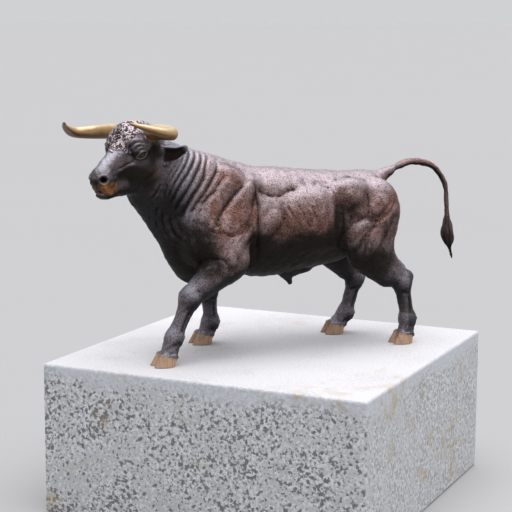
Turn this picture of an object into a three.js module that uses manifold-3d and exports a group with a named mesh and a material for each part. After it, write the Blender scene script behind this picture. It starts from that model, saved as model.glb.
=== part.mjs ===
// A striding bull, cast in bronze, on a square granite plinth.
// Millimetres, +Z up. The origin is the centre of the plinth's underside, and the bull faces -X.
import * as THREE from "three";
import { mergeVertices } from "three/addons/utils/BufferGeometryUtils.js";
import Module from "manifold-3d";

const wasm = await Module();
wasm.setup();

// Driving dimensions
const BULL_HEIGHT = 310; // soles to the top of the poll
const PLINTH_WIDTH = 450; // each side of the square block
const PLINTH_HEIGHT = 200;
const PLINTH_EDGE = 4; // worn rounding of every edge
const EDGE_STEPS = 2; // facets across a rounding
const PLINTH_TURN = 41.4; // degrees between the bull's line and the block's sides
const STANCE_SHIFT = 8; // the hooves' centre lies this far behind the block's centre
const SEAT_GAP = 0.3; // soles to stone

// The figure is drawn in shares of its height: every number below is a 310th of it.
// Figure axes: x towards the muzzle, y to the bull's left, z up from the soles.
const FIGURE_UNIT = BULL_HEIGHT / 310;

// Triangle edges of the skin, in figure units
const SKIN_GRID = 5.5;
const EDGE_BODY = 11;
const EDGE_GROOVE = 6.3;
const EDGE_FOLD = 5;
const EDGE_SEAM = 1; // shortest edge left where two solids are joined
const EDGE_LEG = 7.3;
const EDGE_HEAD = 6.4;
const SKIN_ROUNDS = 6;
const COLLAPSES = 4; // in each round

// Where the head sits on the neck, and how it is turned and tipped
const HEAD = { x: 207, y: 22, z: 285, turn: 30, tip: 2 };

// Joints of the four legs: each is [x, y, z], and the toe is on the ground
const NEAR_FORE = {
  side: 1,
  elbow: [91, 46, 130],
  knee: [148, 53, 86],
  fetlock: [171, 54, 36],
  toe: [188, 55, 0],
};
const FAR_FORE = {
  side: -1,
  elbow: [84, -47, 130],
  knee: [81, -52, 77],
  fetlock: [78, -53, 30],
  toe: [94, -54, 0],
};
const NEAR_HIND = {
  side: 1,
  stifle: [-112, 41, 134],
  shin: [-142, 45, 92],
  hock: [-167, 45, 84],
  fetlock: [-176, 46, 34],
  toe: [-164, 47, 0],
};
const FAR_HIND = {
  side: -1,
  stifle: [-98, -41, 132],
  shin: [-124, -45, 92],
  hock: [-141, -45, 78],
  fetlock: [-127, -46, 29],
  toe: [-105, -47, 0],
};

const radians = THREE.MathUtils.degToRad;
const lerp = THREE.MathUtils.lerp;
const size3 = (x, y, z) => Math.sqrt(x * x + y * y + z * z);

// Masses: each is a distance function with the radius over which it melts into its neighbours

// An ellipsoid, leant in the figure's side view by lean degrees.
function ball(centre, radii, { lean = 0, melt = 10 } = {}) {
  const c = Math.cos(radians(lean));
  const s = Math.sin(radians(lean));
  const [rx, ry, rz] = radii;
  const reach = Math.max(rx, ry, rz);
  const distance = (x, y, z) => {
    const dx = x - centre[0];
    const dz = z - centre[2];
    const u = (c * dx + s * dz) / rx;
    const v = (y - centre[1]) / ry;
    const w = (c * dz - s * dx) / rz;
    const k0 = size3(u, v, w);
    const k1 = size3(u / rx, v / ry, w / rz);
    return k1 > 1e-9 ? (k0 * (k0 - 1)) / k1 : -Math.min(rx, ry, rz);
  };
  return { distance, melt, centre, reach };
}

// A round-ended limb that tapers, swells in the middle by swell, and is flat times as wide in y.
function limb(from, to, r0, r1, { swell = 0, flat = 1, melt = 8 } = {}) {
  const axis = to.map((v, i) => v - from[i]);
  const length2 = axis[0] ** 2 + axis[1] ** 2 + axis[2] ** 2;
  const distance = (x, y, z) => {
    const px = x - from[0];
    const py = y - from[1];
    const pz = z - from[2];
    const along = (px * axis[0] + py * axis[1] + pz * axis[2]) / length2;
    const t = Math.min(1, Math.max(0, along));
    const radius = r0 + (r1 - r0) * t + 4 * swell * t * (1 - t);
    const off = (py - axis[1] * t) / flat;
    const gap = size3(px - axis[0] * t, off, pz - axis[2] * t) - radius;
    return gap * Math.min(1, flat);
  };
  const centre = from.map((v, i) => v + axis[i] / 2);
  const reach = Math.sqrt(length2) / 2 + Math.max(r0, r1) + swell;
  return { distance, melt, centre, reach };
}

// The same masses on both sides of the body.
const bothSides = (make) => [make(1), make(-1)];

// A point of the head, given forward, to its left and up from the middle of the skull.
function headPoint([forward, left, up]) {
  const tip = radians(HEAD.tip);
  const turn = radians(HEAD.turn);
  const side = left * Math.cos(tip) - up * Math.sin(tip);
  return [
    HEAD.x + forward * Math.cos(turn) - side * Math.sin(turn),
    HEAD.y + forward * Math.sin(turn) + side * Math.cos(turn),
    HEAD.z + left * Math.sin(tip) + up * Math.cos(tip),
  ];
}

// A mass drawn in the head's own axes, carried to its place.
function inHead(mass) {
  const tip = radians(HEAD.tip);
  const turn = radians(HEAD.turn);
  const distance = (x, y, z) => {
    const dx = x - HEAD.x;
    const dy = y - HEAD.y;
    const dz = z - HEAD.z;
    const forward = dx * Math.cos(turn) + dy * Math.sin(turn);
    const side = dy * Math.cos(turn) - dx * Math.sin(turn);
    return mass.distance(
      forward,
      side * Math.cos(tip) + dz * Math.sin(tip),
      dz * Math.cos(tip) - side * Math.sin(tip),
    );
  };
  return { ...mass, distance, centre: headPoint(mass.centre) };
}

function trunk() {
  return [
    ball([22, 0, 172], [92, 50, 74], { melt: 18 }), // ribs
    ball([-54, 0, 172], [84, 49, 64], { melt: 22 }), // belly
    limb([60, 0, 211], [-122, 0, 205], 31, 29, { melt: 14 }), // back
    limb([-126, 0, 215], [-169, 0, 234], 15, 6.5, { melt: 8 }), // root of the tail
    ball([-120, 0, 190], [47, 42, 44], { melt: 14 }), // croup
    limb([66, 0, 221], [112, 3, 230], 31, 32, { flat: 0.8, melt: 14 }), // withers
    ball([104, 0, 162], [60, 45, 68], { melt: 18 }), // chest
    limb([104, 0, 202], [186, 15, 244], 56, 38, { flat: 0.74, melt: 16 }), // neck
    limb([112, 3, 232], [182, 15, 268], 28, 24, { flat: 0.8, melt: 14 }), // crest
    limb([192, 17, 219], [128, 0, 116], 24, 18, { flat: 0.7, melt: 14 }), // dewlap
    limb([-12, 0, 102], [-44, 0, 106], 10, 6, { flat: 0.7, melt: 8 }), // behind the sheath
    ball([-112, 0, 132], [12, 14, 18], { melt: 8 }), // between the thighs
  ];
}

function quarters(side) {
  const y = (v) => v * side;
  return [
    limb([62, y(33), 222], [112, y(40), 170], 19, 22, { flat: 0.6 }), // shoulder blade, back
    limb([88, y(30), 232], [130, y(38), 182], 19, 21, { flat: 0.6 }), // shoulder blade, front
    ball([126, y(33), 152], [26, 18, 28], { lean: -25 }), // shoulder point
    limb([70, y(40), 176], [98, y(42), 144], 22, 22, { flat: 0.6 }), // triceps
    ball([40, y(38), 178], [22, 13, 26], { lean: 20, melt: 12 }), // ribs behind the shoulder
    ball([-34, y(38), 178], [38, 16, 40], { melt: 16 }), // last ribs
    ball([-92, y(36), 210], [26, 13, 20], { lean: 10, melt: 14 }), // hip
    ball([-139, y(28), 192], [28, 20, 34], { lean: -12 }), // rump
    limb([-143, y(28), 176], [-134, y(37), 134], 25, 21, { flat: 0.8 }), // hamstring
    limb([-112, y(34), 176], [-104, y(40), 142], 26, 21, { flat: 0.7 }), // thigh
  ];
}

// The two small claws behind a fetlock.
function dewclaws([x, y, z]) {
  return bothSides((s) => ball([x - 11, y + 6 * s, z - 5], [4.5, 3.8, 5.5], { lean: 25, melt: 3 }));
}

function foreleg({ side, elbow, knee, fetlock, toe }) {
  const coronet = [toe[0] - 9, toe[1], 12];
  return [
    limb([102, 40 * side, 158], elbow, 28, 25, { flat: 0.75, melt: 12 }),
    limb(elbow, knee, 25, 13, { swell: 1.5, flat: 0.8, melt: 8 }),
    ball([knee[0] + 1, knee[1], knee[2]], [14, 13.5, 16], { melt: 5 }),
    limb(knee, fetlock, 12, 10.5, { swell: -1, flat: 0.9, melt: 6 }),
    ball(fetlock, [12, 12.5, 11.5], { melt: 5 }),
    limb(fetlock, coronet, 10.5, 11.5, { melt: 5 }),
    ...dewclaws(fetlock),
  ];
}

function hindleg({ side, stifle, shin, hock, fetlock, toe }) {
  const coronet = [toe[0] - 9, toe[1], 12];
  const point = [hock[0] - 10, hock[1], hock[2] + 9];
  return [
    limb(stifle, hock, 24, 12, { swell: -1.5, flat: 0.8, melt: 10 }),
    limb([stifle[0] + 5, 41 * side, stifle[2] - 14], shin, 18, 13, { flat: 0.7, melt: 8 }),
    limb([stifle[0] - 24, 38 * side, 128], point, 13, 5, { flat: 0.7, melt: 8 }), // tendon
    ball(hock, [13, 11.5, 15], { lean: 15, melt: 5 }),
    ball(point, [6.5, 6.5, 8], { lean: 20, melt: 4 }),
    limb(hock, fetlock, 11.5, 10, { swell: -0.8, flat: 0.9, melt: 6 }),
    ball(fetlock, [11.5, 12, 11], { melt: 5 }),
    limb(fetlock, coronet, 10.5, 11.5, { melt: 5 }),
    ...dewclaws(fetlock),
  ];
}

function headMasses() {
  return [
    ball([0, 0, 1], [33, 26, 27], { melt: 8 }), // skull
    ball([17, 0, 8], [18, 24, 20], { melt: 6 }), // forehead
    limb([26, 0, -15], [68, 0, -37], 23, 15, { flat: 0.72, melt: 7 }), // nose
    limb([4, 0, -44], [58, 0, -53], 19, 12, { flat: 0.76, melt: 8 }), // jaw
    ball([70, 0, -40], [14, 15.5, 13], { lean: -20, melt: 5 }), // muzzle
    ball([69, 0, -48], [12, 13.5, 9], { melt: 4 }), // upper lip
    ball([65, 0, -58], [13, 11, 8], { melt: 3 }), // chin
    ...bothSides((s) => ball([8, 14 * s, -28], [27, 11, 27], { melt: 7 })), // cheeks
    ...bothSides((s) => ball([21, 21 * s, -7], [14, 10, 11], { melt: 4 })), // eye sockets
    ...bothSides((s) => ball([3, 20 * s, 2], [13, 9, 11], { melt: 6 })), // horn roots
    ...bothSides((s) => ball([-14, 20 * s, -10], [9, 10, 9], { melt: 6 })), // ear roots
  ].map(inHead);
}

// Hollows between the muscles, as lines [x, z] in the side view, on both flanks
const GROOVES = [
  { line: [[63, 235], [54, 222], [52, 190], [51, 158], [54, 135], [62, 114]], depth: 6.1, width: 6.3 },
  { line: [[75, 229], [94, 207], [113, 180]], depth: 3.5, width: 5.2 },
  { line: [[99, 241], [119, 216], [135, 194]], depth: 3.5, width: 5.2 },
  { line: [[137, 184], [114, 168], [92, 163], [72, 173], [57, 190]], depth: 4.7, width: 6.3 },
  { line: [[53, 221], [37, 211], [20, 209], [-3, 218]], depth: 3.5, width: 6.3 },
  { line: [[-27, 224], [-50, 219], [-61, 200], [-63, 174], [-54, 150]], depth: 4.9, width: 7.4 },
  { line: [[-70, 213], [-82, 189], [-80, 155], [-73, 133]], depth: 4.9, width: 7.4 },
  { line: [[-109, 210], [-111, 193], [-108, 176]], depth: 3.5, width: 6.3 },
  { line: [[-87, 173], [-108, 176], [-130, 177], [-148, 193]], depth: 3.8, width: 6.3 },
  { line: [[-128, 177], [-115, 158], [-106, 139]], depth: 3.8, width: 6.3 },
  { line: [[-154, 183], [-142, 156], [-130, 132]], depth: 2.7, width: 6.3 },
  { line: [[128, 131], [116, 134], [102, 131], [96, 121]], depth: 4.7, width: 5.2 },
  { line: [[89, 163], [93, 145], [82, 128]], depth: 3.2, width: 5.2 },
];

// Broad folds of the neck, as lines [x, z] in the side view, on both sides of its leaning axis
const FOLDS = [
  [[144, 272], [156, 256], [165, 246], [173, 233], [177, 221], [178, 208]],
  [[125, 278], [137, 257], [145, 246], [155, 235], [162, 224], [170, 202]],
  [[112, 273], [126, 250], [135, 237], [146, 222], [155, 203], [160, 188]],
  [[98, 260], [106, 244], [118, 228], [125, 218], [137, 205], [145, 195], [150, 178]],
];
const FOLD_DEPTH = 2.4;
const FOLD_WIDTH = 4;
const NECK_FROM = 104; // where the neck starts to lean
const NECK_LEAN = 0.18; // to the left, for each unit forward

const MASSES = [
  ...trunk(),
  ...bothSides(quarters).flat(),
  ...foreleg(NEAR_FORE),
  ...foreleg(FAR_FORE),
  ...hindleg(NEAR_HIND),
  ...hindleg(FAR_HIND),
  ...headMasses(),
];

// How deep a channel along a line cuts at a point of the side view.
function channel(line, depth, width, x, z) {
  let near = 1e6;
  for (let i = 0; i + 1 < line.length; i++) {
    const [ax, az] = line[i];
    const bx = line[i + 1][0] - ax;
    const bz = line[i + 1][1] - az;
    const t = ((x - ax) * bx + (z - az) * bz) / (bx * bx + bz * bz);
    const s = Math.min(1, Math.max(0, t));
    near = Math.min(near, (x - ax - bx * s) ** 2 + (z - az - bz * s) ** 2);
  }
  return near < 9 * width * width ? depth * Math.exp(-near / (width * width)) : 0;
}

// How deep the grooves cut at a point: full on the flanks, nothing near the middle line.
function hollow(x, y, z) {
  const flank = THREE.MathUtils.smoothstep(Math.abs(y), 14, 26);
  if (flank === 0 || z < 95 || x > 150) return 0;
  const cuts = GROOVES.map(({ line, depth, width }) => channel(line, depth, width, x, z));
  return Math.max(...cuts) * flank;
}

// How deep the folds of the neck cut at a point.
function fold(x, y, z) {
  const side = THREE.MathUtils.smoothstep(Math.abs(y - NECK_LEAN * (x - NECK_FROM)), 6, 18);
  if (side === 0 || x < 85 || z < 165) return 0;
  return Math.max(...FOLDS.map((line) => channel(line, FOLD_DEPTH, FOLD_WIDTH, x, z))) * side;
}

// The signed distance to the melted masses, negative inside.
function figure(x, y, z) {
  let nearest = 1e3;
  for (const { distance, melt, centre, reach } of MASSES) {
    const far = size3(x - centre[0], y - centre[1], z - centre[2]) - reach;
    if (far > nearest + melt) continue;
    const gap = distance(x, y, z);
    const overlap = Math.max(0, melt - Math.abs(nearest - gap)) / melt;
    nearest = Math.min(nearest, gap) - (overlap * overlap * melt) / 4;
  }
  return nearest + hollow(x, y, z) + fold(x, y, z);
}

// Length of a triangle's edge wanted at a point of the skin.
function edgeAt(p) {
  const head = size3(p[0] - HEAD.x - 32, p[1] - HEAD.y - 20, p[2] - HEAD.z + 22);
  const onHead = THREE.MathUtils.smoothstep(head, 55, 95);
  const onLeg = THREE.MathUtils.smoothstep(p[2], 70, 105);
  const grooved = THREE.MathUtils.smoothstep(hollow(...p), 0.1, 1.2);
  const atTail = THREE.MathUtils.smoothstep(-p[0], 140, 160) * THREE.MathUtils.smoothstep(p[2], 212, 222);
  const folded = THREE.MathUtils.smoothstep(fold(...p), 0.1, 0.8);
  const cut = lerp(lerp(EDGE_BODY, EDGE_GROOVE, grooved), EDGE_FOLD, folded);
  const skin = lerp(cut, EDGE_HEAD, atTail);
  const body = lerp(EDGE_LEG, skin, onLeg);
  return lerp(EDGE_HEAD, body, onHead);
}

// Meshing of the field: a first skin from a grid, then edges split, collapsed, flipped and relaxed

const CORNERS = [0, 1, 2, 3, 4, 5, 6, 7].map((c) => [c & 1, (c >> 1) & 1, c >> 2]);

// Whether the corners of a cell that are inside hang together by its edges, and so do the others.
function isSimple(code) {
  const pieces = (wanted) => {
    const left = new Set([0, 1, 2, 3, 4, 5, 6, 7].filter((c) => ((code >> c) & 1) === wanted));
    let count = 0;
    while (left.size) {
      const queue = [left.values().next().value];
      left.delete(queue[0]);
      count++;
      while (queue.length) {
        const corner = queue.pop();
        for (const next of [corner ^ 1, corner ^ 2, corner ^ 4])
          if (left.delete(next)) queue.push(next);
      }
    }
    return count;
  };
  return pieces(1) <= 1 && pieces(0) <= 1;
}

// Fills pinched cells of the grid, so that each cell holds one sheet of the skin.
function unpinch(value, n, at) {
  const simple = Array.from({ length: 256 }, (_, code) => isSimple(code));
  let changed = true;
  while (changed) {
    changed = false;
    for (let k = 0; k < n[2] - 1; k++)
      for (let j = 0; j < n[1] - 1; j++)
        for (let i = 0; i < n[0] - 1; i++) {
          const places = CORNERS.map(([a, b, c]) => at(i + a, j + b, k + c));
          const code = places.reduce((sum, v, bit) => sum | ((value[v] < 0 ? 1 : 0) << bit), 0);
          if (simple[code]) continue;
          const outside = places.filter((v) => value[v] >= 0);
          const nearest = outside.reduce((u, v) => (value[v] < value[u] ? v : u));
          value[nearest] = -0.05;
          changed = true;
        }
  }
}

// Surface nets: one vertex in each cell that the skin crosses, one square for each crossed edge.
function firstSkin(low, high, step) {
  const n = low.map((v, i) => Math.ceil((high[i] - v) / step) + 1);
  const at = (i, j, k) => (k * n[1] + j) * n[0] + i;
  const value = new Float32Array(n[0] * n[1] * n[2]);
  for (let k = 0; k < n[2]; k++)
    for (let j = 0; j < n[1]; j++)
      for (let i = 0; i < n[0]; i++)
        value[at(i, j, k)] = figure(low[0] + i * step, low[1] + j * step, low[2] + k * step);
  unpinch(value, n, at);
  const cell = new Int32Array(value.length).fill(-1);
  const points = [];
  for (let k = 0; k < n[2] - 1; k++)
    for (let j = 0; j < n[1] - 1; j++)
      for (let i = 0; i < n[0] - 1; i++) {
        const sum = [0, 0, 0];
        let crossings = 0;
        const visit = (a, b) => {
          const va = value[at(i + a[0], j + a[1], k + a[2])];
          const vb = value[at(i + b[0], j + b[1], k + b[2])];
          if (va < 0 === vb < 0) return;
          const t = va / (va - vb);
          for (let c = 0; c < 3; c++) sum[c] += a[c] + t * (b[c] - a[c]);
          crossings++;
        };
        for (const u of [0, 1])
          for (const v of [0, 1]) {
            visit([0, u, v], [1, u, v]);
            visit([u, 0, v], [u, 1, v]);
            visit([u, v, 0], [u, v, 1]);
          }
        if (!crossings) continue;
        const base = [i, j, k];
        cell[at(i, j, k)] = points.length;
        points.push(sum.map((s, c) => low[c] + (base[c] + s / crossings) * step));
      }
  const triangles = [];
  // The square of the four cells round a crossed edge; u and v are the steps to the cells beside
  const square = (home, u, v, inside) => {
    const cells = [cell[home - u - v], cell[home - v], cell[home], cell[home - u]];
    const ring = inside ? cells : cells.reverse();
    triangles.push([ring[0], ring[1], ring[2]], [ring[0], ring[2], ring[3]]);
  };
  const [stepX, stepY, stepZ] = [1, n[0], n[0] * n[1]];
  for (let k = 1; k < n[2] - 1; k++)
    for (let j = 1; j < n[1] - 1; j++)
      for (let i = 1; i < n[0] - 1; i++) {
        const here = value[at(i, j, k)] < 0;
        const home = at(i, j, k);
        if (here !== value[home + stepX] < 0) square(home, stepY, stepZ, here);
        if (here !== value[home + stepY] < 0) square(home, stepZ, stepX, here);
        if (here !== value[home + stepZ] < 0) square(home, stepX, stepY, here);
      }
  return { points, triangles };
}

const span = (a, b) => size3(a[0] - b[0], a[1] - b[1], a[2] - b[2]);
const middle = (a, b) => a.map((v, i) => (v + b[i]) / 2);
const edgeKey = (a, b) => (a < b ? a * 1e6 + b : b * 1e6 + a);

// Direction and steepness of the field.
function slope(p) {
  const e = 0.4;
  return [0, 1, 2].map((i) => {
    const q = [...p];
    const r = [...p];
    q[i] += e;
    r[i] -= e;
    return (figure(...q) - figure(...r)) / (2 * e);
  });
}

// Moves a point onto the skin.
function settle(p) {
  for (let pass = 0; pass < 2; pass++) {
    const g = slope(p);
    const steep = Math.max(0.2, g[0] ** 2 + g[1] ** 2 + g[2] ** 2);
    const f = figure(...p);
    p = p.map((v, i) => v - (f * g[i]) / steep);
  }
  return p;
}

function faceNormal(a, b, c) {
  const u = b.map((v, i) => v - a[i]);
  const w = c.map((v, i) => v - a[i]);
  return [u[1] * w[2] - u[2] * w[1], u[2] * w[0] - u[0] * w[2], u[0] * w[1] - u[1] * w[0]];
}

const dot = (a, b) => a[0] * b[0] + a[1] * b[1] + a[2] * b[2];

// Halves every edge that is over 4/3 of the length wanted.
function splitLong({ points, triangles }) {
  const halves = new Map();
  const half = (a, b) => {
    const key = edgeKey(a, b);
    if (!halves.has(key)) {
      const m = middle(points[a], points[b]);
      const long = span(points[a], points[b]) > (4 / 3) * edgeAt(m);
      halves.set(key, long ? points.push(settle(m)) - 1 : -1);
    }
    return halves.get(key);
  };
  const out = [];
  for (const [a, b, c] of triangles) {
    const ring = [a, half(a, b), b, half(b, c), c, half(c, a)].filter((v) => v >= 0);
    if (ring.length === 6) {
      out.push([ring[0], ring[1], ring[5]], [ring[1], ring[2], ring[3]]);
      out.push([ring[3], ring[4], ring[5]], [ring[1], ring[3], ring[5]]);
      continue;
    }
    // With one or two halved edges the ring is cut up from a new vertex
    const start = ring.length === 3 ? 0 : ring.findIndex((v) => v !== a && v !== b && v !== c);
    for (let i = 1; i < ring.length - 1; i++)
      out.push([ring[start], ring[(start + i) % ring.length], ring[(start + i + 1) % ring.length]]);
  }
  return { points, triangles: out };
}

function ringsOf({ points, triangles }) {
  const rings = points.map(() => []);
  triangles.forEach((t, i) => t.forEach((v) => rings[v].push(i)));
  return rings;
}

// Draws together the ends of every edge that is under 4/5 of the length wanted.
function collapseShort({ points, triangles }, wanted = edgeAt, place = settle) {
  const rings = ringsOf({ points, triangles });
  const touched = new Set();
  const dead = new Set();
  const neighbours = (v) => new Set(rings[v].flatMap((i) => triangles[i]).filter((w) => w !== v));
  const edges = [];
  for (const [a, b, c] of triangles)
    for (const [u, v] of [[a, b], [b, c], [c, a]])
      if (u < v) edges.push([span(points[u], points[v]), u, v]);
  edges.sort((p, q) => p[0] - q[0]);
  for (const [length, u, v] of edges) {
    const m = middle(points[u], points[v]);
    if (length > (4 / 5) * wanted(m)) continue;
    if (touched.has(u) || touched.has(v)) continue;
    const nu = neighbours(u);
    const nv = neighbours(v);
    const shared = [...nu].filter((w) => nv.has(w));
    if (shared.length !== 2) continue;
    if (shared.some((w) => rings[w].length < 4)) continue;
    const both = new Set([...nu, ...nv]);
    if ([...both].some((w) => touched.has(w))) continue;
    const kept = [...rings[u], ...rings[v]].filter(
      (i) => !(triangles[i].includes(u) && triangles[i].includes(v)),
    );
    const joint = place(m);
    const fine = kept.every((i) => {
      const [a, b, c] = triangles[i].map((w) => points[w]);
      const [d, e, f] = triangles[i].map((w) => (w === u || w === v ? joint : points[w]));
      const before = faceNormal(a, b, c);
      const after = faceNormal(d, e, f);
      const sliver = size3(...before) < 0.1;
      return sliver || dot(before, after) > 0.3 * size3(...before) * size3(...after);
    });
    if (!fine) continue;
    points[u] = joint;
    for (const i of rings[v]) {
      if (triangles[i].includes(u)) dead.add(i);
      else triangles[i] = triangles[i].map((w) => (w === v ? u : w));
    }
    for (const w of both) touched.add(w);
    touched.add(u);
    touched.add(v);
  }
  return compact(points, triangles.filter((_, i) => !dead.has(i)));
}

// Drops the points that no triangle uses.
function compact(points, triangles) {
  const place = new Map();
  const kept = [];
  const used = triangles.map((t) =>
    t.map((v) => {
      if (!place.has(v)) place.set(v, kept.push(points[v]) - 1);
      return place.get(v);
    }),
  );
  return { points: kept, triangles: used };
}

// Turns an edge round where that brings the corners nearer to six triangles each.
function flipEdges({ points, triangles }) {
  const valence = ringsOf({ points, triangles }).map((r) => r.length);
  const sides = new Map();
  triangles.forEach((t, i) =>
    t.forEach((v, k) => {
      const key = edgeKey(v, t[(k + 1) % 3]);
      sides.set(key, [...(sides.get(key) ?? []), i]);
    }),
  );
  const stale = new Set();
  for (const [key, [i, j]] of [...sides]) {
    if (stale.has(i) || stale.has(j)) continue;
    const a = Math.floor(key / 1e6);
    const b = key % 1e6;
    const c = triangles[i].find((v) => v !== a && v !== b);
    const d = triangles[j].find((v) => v !== a && v !== b);
    if (sides.has(edgeKey(c, d)) || valence[a] < 4 || valence[b] < 4) continue;
    const off = (v, change) => (valence[v] + change - 6) ** 2;
    const now = off(a, 0) + off(b, 0) + off(c, 0) + off(d, 0);
    const then = off(a, -1) + off(b, -1) + off(c, 1) + off(d, 1);
    if (then >= now) continue;
    const forward = triangles[i][(triangles[i].indexOf(a) + 1) % 3] === b;
    const [p, q] = forward ? [a, b] : [b, a];
    const first = [p, d, c];
    const second = [d, q, c];
    const old = faceNormal(...triangles[i].map((v) => points[v]));
    const other = faceNormal(...triangles[j].map((v) => points[v]));
    const made = [first, second].map((t) => faceNormal(...t.map((v) => points[v])));
    const sum = old.map((v, k) => v + other[k]);
    if (made.some((m) => dot(m, sum) < 0.5 * size3(...m) * size3(...sum))) continue;
    triangles[i] = first;
    triangles[j] = second;
    valence[a]--;
    valence[b]--;
    valence[c]++;
    valence[d]++;
    sides.set(edgeKey(c, d), [i, j]);
    stale.add(i);
    stale.add(j);
  }
  return { points, triangles };
}

// Slides each point along the skin towards the middle of its neighbours.
function relax({ points, triangles }) {
  const sum = points.map(() => [0, 0, 0, 0]);
  for (const t of triangles)
    for (const v of t)
      for (const w of t) {
        if (v === w) continue;
        const s = sum[v];
        for (let i = 0; i < 3; i++) s[i] += points[w][i];
        s[3]++;
      }
  const moved = points.map((p, v) => {
    const pull = p.map((x, i) => sum[v][i] / sum[v][3] - x);
    const g = slope(p);
    const steep = Math.max(1e-6, dot(g, g));
    const out = dot(pull, g) / steep;
    return settle(p.map((x, i) => x + 0.7 * (pull[i] - out * g[i])));
  });
  return { points: moved, triangles };
}

// The lowest and highest corner of a box with room for every mass.
function roomOf(masses) {
  const ends = (i, sign) => masses.map(({ centre, reach }) => centre[i] + sign * (reach + 2 * SKIN_GRID));
  return [[0, 1, 2].map((i) => Math.min(...ends(i, -1))), [0, 1, 2].map((i) => Math.max(...ends(i, 1)))];
}

function skin() {
  let mesh = firstSkin(...roomOf(MASSES), SKIN_GRID);
  for (let round = 0; round < SKIN_ROUNDS; round++) {
    mesh = splitLong(mesh);
    for (let pass = 0; pass < COLLAPSES; pass++) mesh = collapseShort(mesh);
    mesh = relax(flipEdges(mesh));
  }
  return mesh;
}

// Solids for the booleans

function solidOf(geometry) {
  const bare = geometry.clone();
  bare.deleteAttribute("normal");
  bare.deleteAttribute("uv");
  const merged = mergeVertices(bare, 1e-4);
  return new wasm.Manifold(
    new wasm.Mesh({
      numProp: 3,
      vertProperties: merged.attributes.position.array,
      triVerts: new Uint32Array(merged.index.array),
    }),
  );
}

function meshOf(solid) {
  const { vertProperties, triVerts } = solid.getMesh();
  const points = [];
  const triangles = [];
  for (let i = 0; i < vertProperties.length; i += 3)
    points.push([...vertProperties.slice(i, i + 3)]);
  for (let i = 0; i < triVerts.length; i += 3) triangles.push([...triVerts.slice(i, i + 3)]);
  return { points, triangles };
}

function geometryOf({ points, triangles }) {
  const geometry = new THREE.BufferGeometry();
  geometry.setAttribute("position", new THREE.Float32BufferAttribute(points.flat(), 3));
  geometry.setIndex(triangles.flat());
  geometry.computeVertexNormals();
  return geometry;
}

function bodySolid() {
  const { points, triangles } = skin();
  return new wasm.Manifold(
    new wasm.Mesh({
      numProp: 3,
      vertProperties: new Float32Array(points.flat()),
      triVerts: new Uint32Array(triangles.flat()),
    }),
  );
}

// A closed bar along a smooth curve. across(t) gives its half thickness, its half width along
// flatWay, and how far its edges bend forward.
function sweep(stations, across, sides, steps, flatWay) {
  const curve = new THREE.CatmullRomCurve3(stations.map((p) => new THREE.Vector3(...p)));
  const bar = new THREE.CylinderGeometry(1, 1, 1, sides, steps);
  const at = bar.attributes.position;
  for (let i = 0; i < at.count; i++) {
    const t = THREE.MathUtils.clamp(at.getY(i) + 0.5, 0, 1);
    const centre = curve.getPointAt(t);
    const ahead = curve.getTangentAt(t);
    const thick = new THREE.Vector3().crossVectors(ahead, flatWay).normalize();
    const wide = new THREE.Vector3().crossVectors(thick, ahead);
    const [a, b, bend] = across(t);
    centre.addScaledVector(thick, a * at.getX(i) + bend * at.getZ(i) ** 2);
    centre.addScaledVector(wide, b * at.getZ(i));
    at.setXYZ(i, centre.x, centre.y, centre.z);
  }
  return facingOut(solidOf(bar), bar);
}

// A swept bar whose faces came out inside out is turned round.
function facingOut(solid, geometry) {
  if (solid.volume() > 0) return solid;
  const index = geometry.index;
  for (let i = 0; i < index.count; i += 3) {
    const keep = index.getX(i);
    index.setX(i, index.getX(i + 1));
    index.setX(i + 1, keep);
  }
  return solidOf(geometry);
}

const UPWARD = new THREE.Vector3(0, 0, 1);

function horn(side) {
  const stations = [
    [6, 14 * side, 12],
    [4, 40 * side, 15],
    [12, 66 * side, 14],
    [34, 78 * side, 15],
    [58, 69 * side, 22],
    [77, 54 * side, 30],
  ].map(headPoint);
  const radius = (t) => lerp(10.5, 1.2, t ** 1.7);
  return sweep(stations, (t) => [radius(t), radius(t), 0], 10, 14, UPWARD);
}

// A leaf-shaped ear, hollow towards the front.
function ear(side) {
  const stations = [
    [-12, 17 * side, -11],
    [-18, 29 * side, -14],
    [-27, 40 * side, -13],
    [-37, 51 * side, -5],
  ].map(headPoint);
  const width = (t) => 1 + 9.5 * Math.sin(Math.PI * Math.min(1, 0.22 + 0.76 * t)) ** 0.8;
  const bend = (t) => side * 4 * Math.sin(Math.PI * t);
  return sweep(stations, (t) => [lerp(4.5, 1.6, t), width(t), bend(t)], 12, 8, UPWARD);
}

function tail() {
  const stations = [
    [-150, 0, 226],
    [-167, 0, 234],
    [-186, 0, 242],
    [-205, 0, 246],
    [-236, 0, 239],
    [-257, 0, 215],
    [-262, 0, 182],
    [-264, 0, 145],
    [-273, 0, 104],
  ];
  const radius = (t) => {
    const root = 4.6 * Math.exp(-t / 0.07);
    const tuft = 4.4 * Math.exp(-(((t - 0.85) / 0.08) ** 2));
    const tip = t > 0.9 ? lerp(1, 0.2, (t - 0.9) / 0.1) : 1;
    return (3.2 + root + tuft) * tip;
  };
  return sweep(stations, (t) => [radius(t), radius(t), 0], 8, 26, new THREE.Vector3(0, 1, 0));
}

function sheath() {
  const stations = [
    [-9, 0, 106],
    [-14, 0, 95],
    [-19, 0, 84],
  ];
  const radius = (t) => lerp(9, 2.5, t);
  return sweep(stations, (t) => [radius(t), 0.7 * radius(t), 0], 8, 3, new THREE.Vector3(0, 1, 0));
}

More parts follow.
